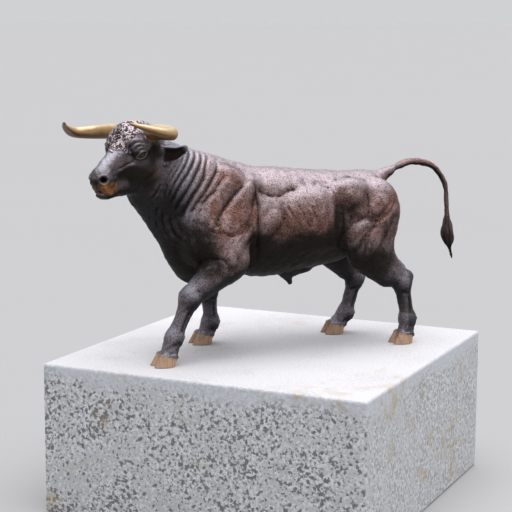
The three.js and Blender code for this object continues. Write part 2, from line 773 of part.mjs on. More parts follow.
// One claw of a hoof: upright sides at the cleft, a sloping toe, a flat sole on the ground.
function claw(toe, leftward) {
  const block = new THREE.CylinderGeometry(1, 1, 1, 12, 2);
  block.rotateX(Math.PI / 2);
  const at = block.attributes.position;
  const height = 16;
  for (let i = 0; i < at.count; i++) {
    const up = at.getZ(i) + 0.5;
    const length = lerp(14.2, 10.5, up);
    const width = lerp(7.6, 6.2, up);
    const round = at.getX(i) > 0 ? 1 - 0.35 * at.getX(i) ** 2 : 1;
    at.setXYZ(
      i,
      toe[0] - 0.5 + at.getX(i) * length - 6 * up,
      toe[1] + leftward * 7.9 + at.getY(i) * width * round,
      up * height,
    );
  }
  return solidOf(block);
}

function bullSolid() {
  const legs = [NEAR_FORE, FAR_FORE, NEAR_HIND, FAR_HIND];
  let bull = bodySolid();
  for (const side of [1, -1]) bull = bull.add(horn(side)).add(ear(side));
  bull = bull.add(tail()).add(sheath());
  for (const { toe } of legs) bull = bull.add(claw(toe, 1)).add(claw(toe, -1));
  return bull;
}

const bronze = new THREE.MeshStandardMaterial({ color: 0x4a3a36, roughness: 0.42, metalness: 0.85 });
const granite = new THREE.MeshStandardMaterial({ color: 0xb9bcc0, roughness: 0.8, metalness: 0 });

function bullMesh() {
  let joined = meshOf(bullSolid());
  for (let pass = 0; pass < COLLAPSES; pass++)
    joined = collapseShort(joined, () => EDGE_SEAM, (m) => m);
  const geometry = geometryOf(joined);
  geometry.scale(FIGURE_UNIT, FIGURE_UNIT, FIGURE_UNIT);
  const mesh = new THREE.Mesh(geometry, bronze);
  mesh.name = "bull";
  return mesh;
}

// A square block whose edges are worn round.
function plinthMesh() {
  const half = PLINTH_WIDTH / 2;
  const lines = 2 * EDGE_STEPS + 1;
  const box = new THREE.BoxGeometry(1, 1, 1, lines, lines, lines);
  const at = box.attributes.position;
  const core = [half - PLINTH_EDGE, half - PLINTH_EDGE, PLINTH_HEIGHT / 2 - PLINTH_EDGE];
  const point = new THREE.Vector3();
  for (let i = 0; i < at.count; i++) {
    // Grid lines 0..n and n+1..2n+1 gather at the two ends of each side
    const line = [at.getX(i), at.getY(i), at.getZ(i)].map((v) => Math.round((v + 0.5) * lines));
    const sign = line.map((v) => (v > EDGE_STEPS ? 1 : -1));
    const out = line.map((v, k) => (sign[k] > 0 ? v - EDGE_STEPS - 1 : EDGE_STEPS - v) / EDGE_STEPS);
    point.set(...out.map((v, k) => sign[k] * Math.tan((v * Math.PI) / 4)));
    point.normalize().multiplyScalar(PLINTH_EDGE);
    at.setXYZ(i, ...point.toArray().map((v, k) => v + sign[k] * core[k]));
  }
  const mesh = new THREE.Mesh(geometryOf(meshOf(solidOf(box))), granite);
  mesh.name = "plinth";
  mesh.position.z = PLINTH_HEIGHT / 2;
  mesh.rotation.z = radians(PLINTH_TURN);
  return mesh;
}

const sculpture = new THREE.Group();
const figureStand = new THREE.Group();
figureStand.position.set(STANCE_SHIFT, 0, PLINTH_HEIGHT + SEAT_GAP);
figureStand.rotation.z = Math.PI;
figureStand.add(bullMesh());
sculpture.add(plinthMesh(), figureStand);

export default sculpture;
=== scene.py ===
"""Looks of a striding bull in patinated bronze on a square granite block."""

import logging
import math
from dataclasses import dataclass, field
from enum import Enum
from typing import Callable, Iterable, Sequence

import bmesh
import bpy
import numpy as np
from mathutils import Matrix, Vector


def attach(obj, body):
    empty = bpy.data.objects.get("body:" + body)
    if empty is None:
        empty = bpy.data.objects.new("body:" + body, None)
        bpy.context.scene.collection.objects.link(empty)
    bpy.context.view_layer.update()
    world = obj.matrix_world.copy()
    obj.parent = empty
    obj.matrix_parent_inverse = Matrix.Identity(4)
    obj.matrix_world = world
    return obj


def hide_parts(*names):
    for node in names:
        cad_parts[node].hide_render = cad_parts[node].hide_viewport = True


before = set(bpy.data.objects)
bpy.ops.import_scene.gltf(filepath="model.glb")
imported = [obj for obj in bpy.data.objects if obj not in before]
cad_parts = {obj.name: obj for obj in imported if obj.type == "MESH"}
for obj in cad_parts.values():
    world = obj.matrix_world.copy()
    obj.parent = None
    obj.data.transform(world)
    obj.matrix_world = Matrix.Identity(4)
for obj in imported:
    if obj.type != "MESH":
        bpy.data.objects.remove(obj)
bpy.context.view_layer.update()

log = logging.getLogger("bull")

Array = np.ndarray
Point = tuple[float, float, float]
Spot = tuple[float, float]
Colour = tuple[float, float, float]
Value = "float | Signal"

MILLIMETRE = 0.001
STANCE_SHIFT = 8.0  # the hooves' centre lies this far behind the block's centre
SOLE_HEIGHT = 200.3  # the block's height and the gap under the soles
SEED = 41
FAR = 1e3  # millimetres, past any distance on the figure


def to_part(at: Array) -> Array:
    """Figure millimetres to the part's metres."""
    return np.stack([STANCE_SHIFT - at[:, 0], -at[:, 1], at[:, 2] + SOLE_HEIGHT], 1) * MILLIMETRE


def to_figure(at: Array) -> Array:
    """The part's metres to figure millimetres."""
    mm = at / MILLIMETRE
    return np.stack([STANCE_SHIFT - mm[:, 0], -mm[:, 1], mm[:, 2] - SOLE_HEIGHT], 1)


def rise(value: Array, low: float, high: float) -> Array:
    """A smooth step from 0 at low to 1 at high; low may be the larger.

    Args:
        value: The numbers to grade.
        low: Where the step starts.
        high: Where it ends.

    Returns:
        Numbers from 0 to 1.
    """
    t = np.clip((value - low) / (high - low), 0, 1)
    return t * t * (3 - 2 * t)


def bell(distance: Array, width: float) -> Array:
    """1 at no distance, falling off smoothly over the width."""
    return np.exp(-((distance / width) ** 2))


def length(vectors: Array) -> Array:
    """The length of each row."""
    return np.sqrt((vectors * vectors).sum(-1))


def unit(vectors: Array) -> Array:
    """Each row at length one."""
    return vectors / np.maximum(length(vectors), 1e-9)[..., None]


def turning(degrees: float) -> tuple[float, float]:
    """Cosine and sine of an angle."""
    return math.cos(math.radians(degrees)), math.sin(math.radians(degrees))


def shell_gap(off: Array, radii: Array) -> Array:
    """Distance to the ellipse or ellipsoid with these radii, negative inside."""
    share = off / radii
    outward = length(share)
    return outward * (outward - 1) / np.maximum(length(share / radii), 1e-9)


def scattered(values: Array, where: Array, count: int) -> Array:
    """Values at some points, and 0 at the rest."""
    full = np.zeros(count)
    full[where] = values
    return full


def clutter(at: Array, size: float, seed: int, waves: int = 28) -> Array:
    """Smooth random unevenness of about unit strength.

    Args:
        at: Points, one a row.
        size: The usual width of its lumps, in the points' units.
        seed: Chooses the pattern.
        waves: How many plane waves are added up.

    Returns:
        One number a point.
    """
    draw = np.random.default_rng(seed)
    heading = unit(draw.normal(size=(waves, 3)))
    pace = math.pi / size * draw.uniform(0.6, 1.5, waves)
    phase = draw.uniform(0, 2 * math.pi, waves)
    total = np.zeros(len(at))
    for k in range(waves):
        total += np.cos(pace[k] * (at @ heading[k]) + phase[k])
    return total * math.sqrt(2 / waves)


def near_line(at: Array, line: Array) -> tuple[Array, Array]:
    """How far each point is from a polyline, and where along it.

    Args:
        at: Points, as many numbers a row as the line's.
        line: The polyline's points.

    Returns:
        The distances, and the places, counted in the line's pieces.
    """
    best = np.full(len(at), FAR**4)
    place = np.zeros(len(at))
    for k in range(len(line) - 1):
        along = line[k + 1] - line[k]
        t = np.clip(((at - line[k]) @ along) / (along @ along), 0, 1)
        gap = at - line[k] - t[:, None] * along
        squared = (gap * gap).sum(-1)
        closer = squared < best
        best = np.where(closer, squared, best)
        place = np.where(closer, k + t, place)
    return np.sqrt(best), place


# Masses of the figure, in millimetres: x towards the muzzle, y to the bull's left, z up


@dataclass
class Ball:
    """An ellipsoid, leant in the side view by lean degrees."""

    centre: Point
    radii: Point
    lean: float = 0
    melt: float = 10

    def __post_init__(self) -> None:
        """Finds the sphere that holds it."""
        self.middle = np.array(self.centre, float)
        self.reach = max(self.radii)

    def gap(self, at: Array) -> Array:
        """Distance to its skin, negative inside."""
        c, s = turning(self.lean)
        x, y, z = (at - self.middle).T
        return shell_gap(np.stack([c * x + s * z, y, c * z - s * x], 1), np.array(self.radii))


@dataclass
class Limb:
    """A round-ended limb that tapers, swells in the middle and is flat times as wide in y."""

    start: Point
    end: Point
    first: float
    last: float
    swell: float = 0
    flat: float = 1
    melt: float = 8

    def __post_init__(self) -> None:
        """Finds the sphere that holds it."""
        self.middle = (np.array(self.start, float) + np.array(self.end, float)) / 2
        self.reach = math.dist(self.start, self.end) / 2 + max(self.first, self.last) + self.swell

    def gap(self, at: Array) -> Array:
        """Distance to its skin, negative inside."""
        axis = np.array(self.end, float) - np.array(self.start, float)
        d = at - np.array(self.start, float)
        t = np.clip(d @ axis / (axis @ axis), 0, 1)
        off = d - t[:, None] * axis
        off[:, 1] /= self.flat
        radius = self.first + (self.last - self.first) * t + 4 * self.swell * t * (1 - t)
        return (length(off) - radius) * min(1, self.flat)


@dataclass(frozen=True)
class Leg:
    """Joints of one leg; the shin is only on a hind leg."""

    side: int
    top: Point
    middle: Point
    fetlock: Point
    toe: Point
    shin: Point | None = None

    @property
    def coronet(self) -> Point:
        """Where the pastern meets the hoof."""
        return (self.toe[0] - 9, self.toe[1], 12)


NEAR_FORE = Leg(1, (91, 46, 130), (148, 53, 86), (171, 54, 36), (188, 55, 0))
FAR_FORE = Leg(-1, (84, -47, 130), (81, -52, 77), (78, -53, 30), (94, -54, 0))
NEAR_HIND = Leg(1, (-112, 41, 134), (-167, 45, 84), (-176, 46, 34), (-164, 47, 0), (-142, 45, 92))
FAR_HIND = Leg(-1, (-98, -41, 132), (-141, -45, 78), (-127, -46, 29), (-105, -47, 0), (-124, -45, 92))
LEGS = (NEAR_FORE, FAR_FORE, NEAR_HIND, FAR_HIND)


@dataclass(frozen=True)
class Skull:
    """Where the head sits on the neck, and how it is turned and tipped."""

    at: Point = (207, 22, 285)
    turn: float = 30
    tip: float = 2

    @property
    def axes(self) -> Array:
        """Rows: forward, to the head's left, up."""
        c, s = turning(self.turn)
        ct, st = turning(self.tip)
        forward = np.array([c, s, 0])
        side = np.array([-s, c, 0])
        up = np.array([0, 0, 1])
        return np.stack([forward, side * ct + up * st, up * ct - side * st])

    def inward(self, at: Array) -> Array:
        """Figure points in the head's own axes."""
        return (at - np.array(self.at, float)) @ self.axes.T

    def outward(self, at: Array) -> Array:
        """The head's own points in figure axes."""
        return at @ self.axes + np.array(self.at, float)


SKULL = Skull()


class Bar:
    """A tapering bar along a smooth curve, with its own cross-section."""

    SAMPLES = 72

    def __init__(
        self,
        stations: Sequence[Point],
        across: Callable[[Array], tuple[Array, Array, Array]],
        wide_way: Point,
        melt: float,
    ) -> None:
        """Lays out the curve.

        Args:
            stations: Points that the curve passes.
            across: Gives half thickness, half width and edge bend at places from 0 to 1.
            wide_way: The direction that the width lies nearest to.
            melt: Radius over which it melts into what it grows from.
        """
        self.across = across
        self.melt = melt
        self.points = self.smooth(np.array(stations, float))
        ahead = unit(np.gradient(self.points, axis=0))
        self.ahead = ahead
        self.thick = unit(np.cross(ahead, np.array(wide_way, float)))
        self.wide = np.cross(self.thick, ahead)
        self.middle = (self.points.min(0) + self.points.max(0)) / 2
        widest = max(float(a.max()) for a in self.across(np.linspace(0, 1, 20))[:2])
        self.reach = float(length(self.points - self.middle).max()) + widest + 5

    def smooth(self, stations: Array) -> Array:
        """Evenly spaced points on the centripetal curve through the stations."""
        first = 2 * stations[0] - stations[1]
        last = 2 * stations[-1] - stations[-2]
        knots = np.vstack([first, stations, last])
        fine = []
        for k in range(1, len(knots) - 2):
            p = knots[k - 1 : k + 3]
            d = [math.sqrt(float(length(p[i + 1] - p[i]))) for i in range(3)]
            lead = (p[1] - p[0]) / d[0] - (p[2] - p[0]) / (d[0] + d[1]) + (p[2] - p[1]) / d[1]
            trail = (p[2] - p[1]) / d[1] - (p[3] - p[1]) / (d[1] + d[2]) + (p[3] - p[2]) / d[2]
            lead, trail = lead * d[1], trail * d[1]
            t = np.linspace(0, 1, 40, endpoint=k == len(knots) - 3)[:, None]
            square = -3 * p[1] + 3 * p[2] - 2 * lead - trail
            cube = 2 * p[1] - 2 * p[2] + lead + trail
            fine.append(p[1] + lead * t + square * t**2 + cube * t**3)
        path = np.vstack(fine)
        run = np.concatenate([[0], np.cumsum(length(np.diff(path, axis=0)))])
        even = np.linspace(0, run[-1], self.SAMPLES)
        return np.stack([np.interp(even, run, path[:, c]) for c in range(3)], 1)

    def between(self, rows: Array, place: Array) -> Array:
        """The samples' values at places that are counted in samples."""
        index = np.minimum(place.astype(int), self.SAMPLES - 2)
        part = (place - index)[:, None]
        return rows[index] * (1 - part) + rows[index + 1] * part

    def locate(self, at: Array) -> tuple[Array, Array, Array, Array]:
        """Places along the bar, and offsets through its thickness, its width and past its ends."""
        _, place = near_line(at, self.points)
        off = at - self.between(self.points, place)
        ways = (unit(self.between(rows, place)) for rows in (self.thick, self.wide, self.ahead))
        return place / (self.SAMPLES - 1), *((off * way).sum(-1) for way in ways)

    def gap(self, at: Array) -> Array:
        """Distance to its skin, negative inside."""
        t, through, over, past = self.locate(at)
        half, breadth, bend = self.across(t)
        through = through - bend * np.minimum(1, (over / breadth) ** 2)
        outward = np.hypot(through / half, over / breadth)
        steep = np.maximum(np.hypot(through / half**2, over / breadth**2), 1e-6)
        ring = np.where(outward < 1e-6, -half, outward * (outward - 1) / steep)
        beyond = np.where((t <= 0) | (t >= 1), np.abs(past), 0)
        return np.where(beyond > 0, np.hypot(np.maximum(ring, 0), beyond), ring)


@dataclass
class Claw:
    """One claw of a hoof: upright at the cleft, a sloping toe and a flat sole."""

    toe: Point
    leftward: int
    melt: float = 2.0
    height: float = 16
    apart: float = 7.9  # from the middle of the hoof
    half_lengths: Spot = (14.2, 10.5)  # at the sole and at the top
    half_widths: Spot = (7.6, 6.2)
    slope: float = 6

    def __post_init__(self) -> None:
        """Finds the sphere that holds it."""
        self.across = self.toe[1] + self.apart * self.leftward
        self.middle = np.array([self.toe[0] - 3, self.across, self.height / 2])
        self.reach = 24

    def gap(self, at: Array) -> Array:
        """Distance to its skin, negative inside."""
        up = np.clip(at[:, 2] / self.height, 0, 1)
        off = np.stack([at[:, 0] - (self.toe[0] - 0.5) + self.slope * up, at[:, 1] - self.across], 1)
        long, broad = (low + (high - low) * up for low, high in (self.half_lengths, self.half_widths))
        ahead = np.clip(off[:, 0] / long, 0, 1)
        wall = shell_gap(off, np.stack([long, broad * (1 - 0.35 * ahead**2)], 1))
        lid = np.maximum(-at[:, 2], at[:, 2] - self.height)
        return np.minimum(np.maximum(wall, lid), 0) + np.hypot(np.maximum(wall, 0), np.maximum(lid, 0))


def trunk() -> list:
    """Masses of the barrel, the neck and the root of the tail."""
    return [
        Ball((22, 0, 172), (92, 50, 74), melt=18),  # ribs
        Ball((-54, 0, 172), (84, 49, 64), melt=22),  # belly
        Limb((60, 0, 211), (-122, 0, 205), 31, 29, melt=14),  # back
        Limb((-126, 0, 215), (-169, 0, 234), 15, 6.5, melt=8),  # root of the tail
        Ball((-120, 0, 190), (47, 42, 44), melt=14),  # croup
        Limb((66, 0, 221), (112, 3, 230), 31, 32, flat=0.8, melt=14),  # withers
        Ball((104, 0, 162), (60, 45, 68), melt=18),  # chest
        Limb((104, 0, 202), (186, 15, 244), 56, 38, flat=0.74, melt=16),  # neck
        Limb((112, 3, 232), (182, 15, 268), 28, 24, flat=0.8, melt=14),  # crest
        Limb((192, 17, 219), (128, 0, 116), 24, 18, flat=0.7, melt=14),  # dewlap
        Limb((-12, 0, 102), (-44, 0, 106), 10, 6, flat=0.7, melt=8),  # behind the sheath
        Ball((-112, 0, 132), (12, 14, 18), melt=8),  # between the thighs
    ]


def quarters(side: int) -> list:
    """Masses of one shoulder and one thigh."""
    s = side
    return [
        Limb((62, 33 * s, 222), (112, 40 * s, 170), 19, 22, flat=0.6),  # shoulder blade, back
        Limb((88, 30 * s, 232), (130, 38 * s, 182), 19, 21, flat=0.6),  # shoulder blade, front
        Ball((126, 33 * s, 152), (26, 18, 28), lean=-25),  # shoulder point
        Limb((70, 40 * s, 176), (98, 42 * s, 144), 22, 22, flat=0.6),  # triceps
        Ball((40, 38 * s, 178), (22, 13, 26), lean=20, melt=12),  # ribs behind the shoulder
        Ball((-34, 38 * s, 178), (38, 16, 40), melt=16),  # last ribs
        Ball((-92, 36 * s, 210), (26, 13, 20), lean=10, melt=14),  # hip
        Ball((-139, 28 * s, 192), (28, 20, 34), lean=-12),  # rump
        Limb((-143, 28 * s, 176), (-134, 37 * s, 134), 25, 21, flat=0.8),  # hamstring
        Limb((-112, 34 * s, 176), (-104, 40 * s, 142), 26, 21, flat=0.7),  # thigh
    ]


def foot(leg: Leg) -> list:
    """The fetlock, the pastern and the two small claws behind."""
    x, y, z = leg.fetlock
    dew = [Ball((x - 11, y + 6 * s, z - 5), (4.5, 3.8, 5.5), lean=25, melt=3) for s in (1, -1)]
    return [Limb(leg.fetlock, leg.coronet, 10.5, 11.5, melt=5), *dew]


def foreleg(leg: Leg) -> list:
    """Masses of one foreleg."""
    knee = (leg.middle[0] + 1, leg.middle[1], leg.middle[2])
    return [
        Limb((102, 40 * leg.side, 158), leg.top, 28, 25, flat=0.75, melt=12),
        Limb(leg.top, leg.middle, 25, 13, swell=1.5, flat=0.8, melt=8),
        Ball(knee, (14, 13.5, 16), melt=5),
        Limb(leg.middle, leg.fetlock, 12, 10.5, swell=-1, flat=0.9, melt=6),
        Ball(leg.fetlock, (12, 12.5, 11.5), melt=5),
        *foot(leg),
    ]


def hindleg(leg: Leg) -> list:
    """Masses of one hind leg."""
    x, _, z = leg.top
    point = (leg.middle[0] - 10, leg.middle[1], leg.middle[2] + 9)
    return [
        Limb(leg.top, leg.middle, 24, 12, swell=-1.5, flat=0.8, melt=10),
        Limb((x + 5, 41 * leg.side, z - 14), leg.shin, 18, 13, flat=0.7, melt=8),
        Limb((x - 24, 38 * leg.side, 128), point, 13, 5, flat=0.7, melt=8),  # tendon
        Ball(leg.middle, (13, 11.5, 15), lean=15, melt=5),
        Ball(point, (6.5, 6.5, 8), lean=20, melt=4),
        Limb(leg.middle, leg.fetlock, 11.5, 10, swell=-0.8, flat=0.9, melt=6),
        Ball(leg.fetlock, (11.5, 12, 11), melt=5),
        *foot(leg),
    ]


def head_masses() -> list:
    """Masses of the head in its own axes."""
    pairs = [
        ((8, 14, -28), (27, 11, 27), 7),  # cheeks
        ((21, 21, -7), (14, 10, 11), 4),  # eye sockets
        ((23, 16, 3), (13, 11, 9), 8),  # brows
        ((3, 20, 2), (13, 9, 11), 6),  # horn roots
        ((-14, 20, -10), (9, 10, 9), 6),  # ear roots
    ]
    both = [Ball((x, y * s, z), radii, melt=melt) for (x, y, z), radii, melt in pairs for s in (1, -1)]
    return [
        Ball((0, 0, 1), (33, 26, 27), melt=8),  # skull
        Ball((17, 0, 8), (18, 24, 20), melt=6),  # forehead
        Limb((26, 0, -15), (68, 0, -37), 23, 15, flat=0.72, melt=7),  # nose
        Limb((4, 0, -44), (58, 0, -53), 19, 12, flat=0.76, melt=8),  # jaw
        Ball((70, 0, -40), (14, 15.5, 13), lean=-20, melt=5),  # muzzle
        Ball((69, 0, -48), (12, 13.5, 9), melt=4),  # upper lip
        Ball((65, 0, -58), (13, 11, 8), melt=3),  # chin
        *both,
    ]


def horn(side: int) -> Bar:
    """A horn that leaves sideways and turns forward and up."""
    run = [(6, 14, 12), (4, 40, 15), (12, 66, 14), (34, 78, 15), (58, 69, 22), (77, 54, 30)]
    stations = SKULL.outward(np.array([(a, b * side, c) for a, b, c in run], float))

    def across(t: Array) -> tuple[Array, Array, Array]:
        radius = 10.5 + (1.2 - 10.5) * t**1.7
        return radius, radius, 0 * t

    return Bar(stations, across, (0, 0, 1), melt=2)


def ear(side: int) -> Bar:
    """A leaf-shaped ear, hollow towards the front."""
    run = [(-12, 17, -11), (-18, 29, -16), (-27, 40, -15.5), (-37, 51, -5)]
    stations = SKULL.outward(np.array([(a, b * side, c) for a, b, c in run], float))

    def across(t: Array) -> tuple[Array, Array, Array]:
        width = 1 + 11.3 * np.sin(math.pi * np.minimum(1, 0.22 + 0.76 * t)) ** 0.8
        return 4.5 + (1.6 - 4.5) * t, width, side * 4 * np.sin(math.pi * t)

    return Bar(stations, across, (0, 0, 1), melt=3)


def tail_bar() -> Bar:
    """The tail, thrown up and over behind, with its tuft."""
    run = [
        (-150, 0, 226), (-167, 0, 234), (-186, 0, 242), (-205, 0, 246), (-236, 0, 239),
        (-257, 0, 215), (-262, 0, 182), (-264, 0, 145), (-273, 0, 104),
    ]

    def across(t: Array) -> tuple[Array, Array, Array]:
        root = 4.6 * np.exp(-t / 0.07)
        tuft = 4.4 * np.exp(-(((t - 0.85) / 0.08) ** 2))
        tip = np.where(t > 0.9, 1 - 0.8 * (t - 0.9) / 0.1, 1)
        radius = (3.2 + root + tuft) * tip
        return radius, radius, 0 * t

    return Bar(run, across, (0, 1, 0), melt=3)


def sheath_bar() -> Bar:
    """The sheath under the belly."""

    def across(t: Array) -> tuple[Array, Array, Array]:
        radius = 9 + (2.5 - 9) * t
        return radius, 0.7 * radius, 0 * t

    return Bar([(-9, 0, 106), (-14, 0, 95), (-19, 0, 84)], across, (0, 1, 0), melt=4)


# Lines of the modelling, drawn on both flanks in the side view [x, z]


@dataclass(frozen=True)
class Line:
    """A crease, or a ridge where its depth is negative, with a raised rim on both sides."""

    run: tuple
    depth: float
    width: float
    rim: float = 0
    fade: float = 0.15

    def relief(self, at: Array) -> Array:
        """How far it lifts the skin at points with as many numbers as its own."""
        line = np.array(self.run, float)
        margin = 4 * self.width
        low, high = line.min(0) - margin, line.max(0) + margin
        close = np.nonzero(((at > low) & (at < high)).all(1))[0]
        lift = np.zeros(len(at))
        if not len(close):
            return lift
        distance, place = near_line(at[close], line)
        place = place / (len(line) - 1)
        ends = rise(np.minimum(place, 1 - place), -0.02, self.fade)
        shape = -self.depth * bell(distance, self.width)
        shape += self.rim * bell(distance - 2.1 * self.width, 1.2 * self.width)
        lift[close] = shape * ends
        return lift


GROOVES = (
    Line(((63, 235), (54, 222), (52, 190), (51, 158), (54, 135), (62, 114)), 6.1, 6.3),
    Line(((75, 229), (94, 207), (113, 180)), 3.5, 5.2),
    Line(((99, 241), (119, 216), (135, 194)), 3.5, 5.2),
    Line(((137, 184), (114, 168), (92, 163), (72, 173), (57, 190)), 4.7, 6.3),
    Line(((53, 221), (37, 211), (20, 209), (-3, 218)), 3.5, 6.3),
    Line(((-27, 224), (-50, 219), (-61, 200), (-63, 174), (-54, 150)), 4.9, 7.4),
    Line(((-70, 213), (-76, 189), (-76, 155), (-71, 133)), 3.0, 6.4),
    Line(((-109, 210), (-111, 193), (-108, 176)), 3.5, 6.3),
    Line(((-87, 173), (-108, 176), (-130, 177), (-148, 193)), 3.8, 6.3),
    Line(((-128, 177), (-115, 158), (-106, 139)), 3.8, 6.3),
    Line(((-154, 183), (-142, 156), (-130, 132)), 2.7, 6.3),
    Line(((128, 131), (116, 134), (102, 131), (96, 121)), 4.7, 5.2),
    Line(((89, 163), (93, 145), (82, 128)), 3.2, 5.2),
)

NECK_FOLDS = (
    Line(((152, 266), (163, 256), (171, 247), (175, 238), (178, 229)), 1.5, 1.7, 0.5),
    Line(((144, 272), (156, 256), (165, 246), (173, 233), (177, 221), (178, 208)), 1.9, 1.9, 0.6),
    Line(((134, 280), (140, 266), (147, 257), (157, 245), (165, 234), (170, 225), (175, 208)), 2.3, 2.1, 0.7),
    Line(((125, 278), (131, 264), (137, 257), (145, 246), (155, 235), (162, 224), (170, 202)), 2.6, 2.2, 0.8),
    Line(((116, 276), (123, 260), (133, 245), (145, 228), (152, 217), (158, 208), (163, 194)), 2.6, 2.2, 0.8),
    Line(((108, 270), (119, 253), (122, 241), (128, 232), (140, 217), (151, 197), (156, 182)), 2.5, 2.2, 0.8),
    Line(((98, 260), (106, 244), (118, 228), (125, 218), (137, 205), (145, 195), (150, 178)), 2.6, 2.2, 0.7),
    Line(((92, 243), (105, 229), (112, 220), (121, 214), (135, 201)), 1.9, 2.2, 0.5),
    Line(((168, 196), (166, 182), (160, 168), (150, 156)), 1.3, 2.0, 0.5),
    Line(((178, 200), (177, 184), (171, 168), (160, 152)), 1.2, 2.0, 0.5),
    Line(((186, 206), (186, 190), (181, 172)), 1.1, 2.0, 0.5),
    Line(((193, 214), (195, 198), (191, 184)), 0.9, 1.8, 0.4),
)

BODY_LINES = (
    Line(
        ((58, 233), (52, 222), (50, 205), (51, 190), (53, 172), (51, 155), (48, 138), (47, 118)),
        1.6, 1.9, 0.2,
    ),
    Line(((62, 233), (75, 223), (86, 214), (94, 205), (103, 195), (110, 186)), 1.5, 1.9, 0.2),
    Line(((100, 226), (111, 215), (117, 202), (117, 189)), 0.6, 2.5, 0.1),
    Line(
        ((52, 190), (64, 180), (76, 169), (92, 164), (105, 168), (116, 171), (128, 176), (137, 184)),
        0.7, 2.2, 0.1,
    ),
    Line(((69, 168), (82, 164), (92, 157), (100, 148), (103, 137)), 0.9, 2.0, 0.2),
    Line(((52, 191), (61, 178), (75, 163), (87, 153)), 1.0, 1.9, 0.2),
    Line(((49, 221), (41, 216), (30, 212), (18, 211), (3, 217), (-12, 221)), 1.2, 1.9, 0.2),
    Line(
        ((-15, 222), (-39, 224), (-55, 219), (-64, 209), (-65, 196), (-61, 177), (-58, 159), (-54, 141)),
        0.6, 2.8, 0.1,
    ),
    Line(((-59, 158), (-40, 151), (-20, 153), (3, 156), (26, 160), (45, 155)), 0.6, 3.8, 0.1),
    Line(((12, 202), (3, 188), (-4, 178), (-12, 166)), 1.1, 1.6, 0.1),
    Line(((-1, 205), (-10, 191), (-15, 180), (-22, 168)), 1.1, 1.6, 0.1),
    Line(((-14, 209), (-23, 195), (-29, 183), (-33, 174)), 1.0, 1.6, 0.1),
    Line(((26, 196), (15, 181), (6, 166)), 0.6, 1.9, 0.1),
    Line(((-75, 212), (-83, 198), (-89, 186), (-87, 168), (-81, 147), (-78, 131)), 0.5, 2.4, 0.1),
    Line(((-73, 205), (-76, 186), (-74, 160), (-69, 140)), 0.4, 2.4, 0.1),
    Line(((-112, 213), (-113, 201), (-112, 188), (-108, 177)), 1.0, 2.0, 0.2),
    Line(
        ((-92, 171), (-102, 176), (-114, 173), (-127, 172), (-140, 181), (-150, 192), (-156, 203)),
        1.1, 2.0, 0.3,
    ),
    Line(((-124, 171), (-115, 159), (-105, 148), (-101, 135), (-99, 122)), 1.1, 2.0, 0.2),
    Line(((-85, 143), (-92, 152), (-98, 159), (-110, 168)), 0.7, 2.0, 0.2),
    Line(((-155, 192), (-156, 171), (-149, 153), (-137, 138)), 0.9, 2.2, 0.2),
    Line(((125, 133), (116, 136), (106, 135), (101, 127), (99, 114)), 1.2, 1.9, 0.2),
    Line(((38, 112), (28, 120), (16, 130), (10, 142)), 0.4, 2.2, 0.1),
    Line(((22, 108), (10, 118), (0, 130), (-6, 144)), 0.4, 2.2, 0.1),
    Line(((4, 106), (-8, 116), (-18, 128), (-24, 142)), 0.4, 2.2, 0.1),
    Line(((-40, 118), (-52, 128), (-60, 138)), 0.4, 2.0, 0.1),
)

@dataclass(frozen=True)
class Pad:
    """A full muscle in the side view [x, z], long across lean degrees."""

    centre: Spot
    radii: Spot
    lean: float
    height: float

    def relief(self, at: Array) -> Array:
        """How far it lifts the skin at points of the side view."""
        c, s = turning(self.lean)
        x, z = (at - np.array(self.centre)).T
        out = np.minimum(1, np.hypot((x * c + z * s) / self.radii[0], (z * c - x * s) / self.radii[1]))
        return self.height * (1 - out**2.5) ** 1.3


@dataclass(frozen=True)
class Lobe:
    """A long round-ended muscle along a line in the side view [x, z]."""

    run: tuple
    first: float
    last: float
    height: float

    def relief(self, at: Array) -> Array:
        """How far it lifts the skin at points of the side view."""
        distance, place = near_line(at, np.array(self.run, float))
        width = self.first + (self.last - self.first) * (place / (len(self.run) - 1))
        inside = np.maximum(0, 1 - (distance / width) ** 2)
        return self.height * inside**0.85


MUSCLES = (
    Lobe(((94, 226), (110, 205), (122, 190), (127, 178)), 15, 10, 2.8),  # front of the shoulder
    Lobe(((62, 222), (69, 209), (78, 195), (89, 184)), 11, 20, 4.2),  # back of the shoulder
    Lobe(((70, 166), (84, 155), (95, 144), (100, 136)), 11, 12, 3.2),  # triceps
    Lobe(((44, 168), (38, 176), (27, 184)), 15, 12, 4.2),  # behind the elbow
    Pad((-23, 187), (42, 35), 0, 4.0),  # ribs
    Lobe(((42, 230), (10, 225), (-22, 230), (-60, 228)), 9, 9, 0.8),  # along the back
    Pad((-89, 200), (20, 19), 0, 3.2),  # hip
    Pad((-131, 194), (20, 15), -20, 3.6),  # rump
    Lobe(((-84, 146), (-95, 160), (-106, 169)), 12, 9, 3.4),  # thigh
    Lobe(((-149, 187), (-137, 173), (-125, 159), (-112, 145), (-102, 130)), 10, 12, 3.2),  # hamstring
    Lobe(((-156, 168), (-148, 150), (-135, 133)), 8, 9, 1.8),
    Lobe(((108, 126), (96, 116), (88, 104)), 12, 9, 1.2),  # forearm
)


@dataclass(frozen=True)
class Zone:
    """A soft patch of colour, used for the patina's own tones and for painted light and shade; the side
    view's [x, z] or the head's three axes.
    """

    centre: tuple
    radii: tuple
    amount: float = 1.0

    def over(self, at: Array) -> Array:
        """Its strength at each point."""
        off = (at - np.array(self.centre, float)) / np.array(self.radii, float)
        return self.amount * np.exp(-(off * off).sum(1))


def tone(zones: Sequence[Zone], at: Array) -> Array:
    """The zones' strengths added up."""
    return sum(zone.over(at) for zone in zones)


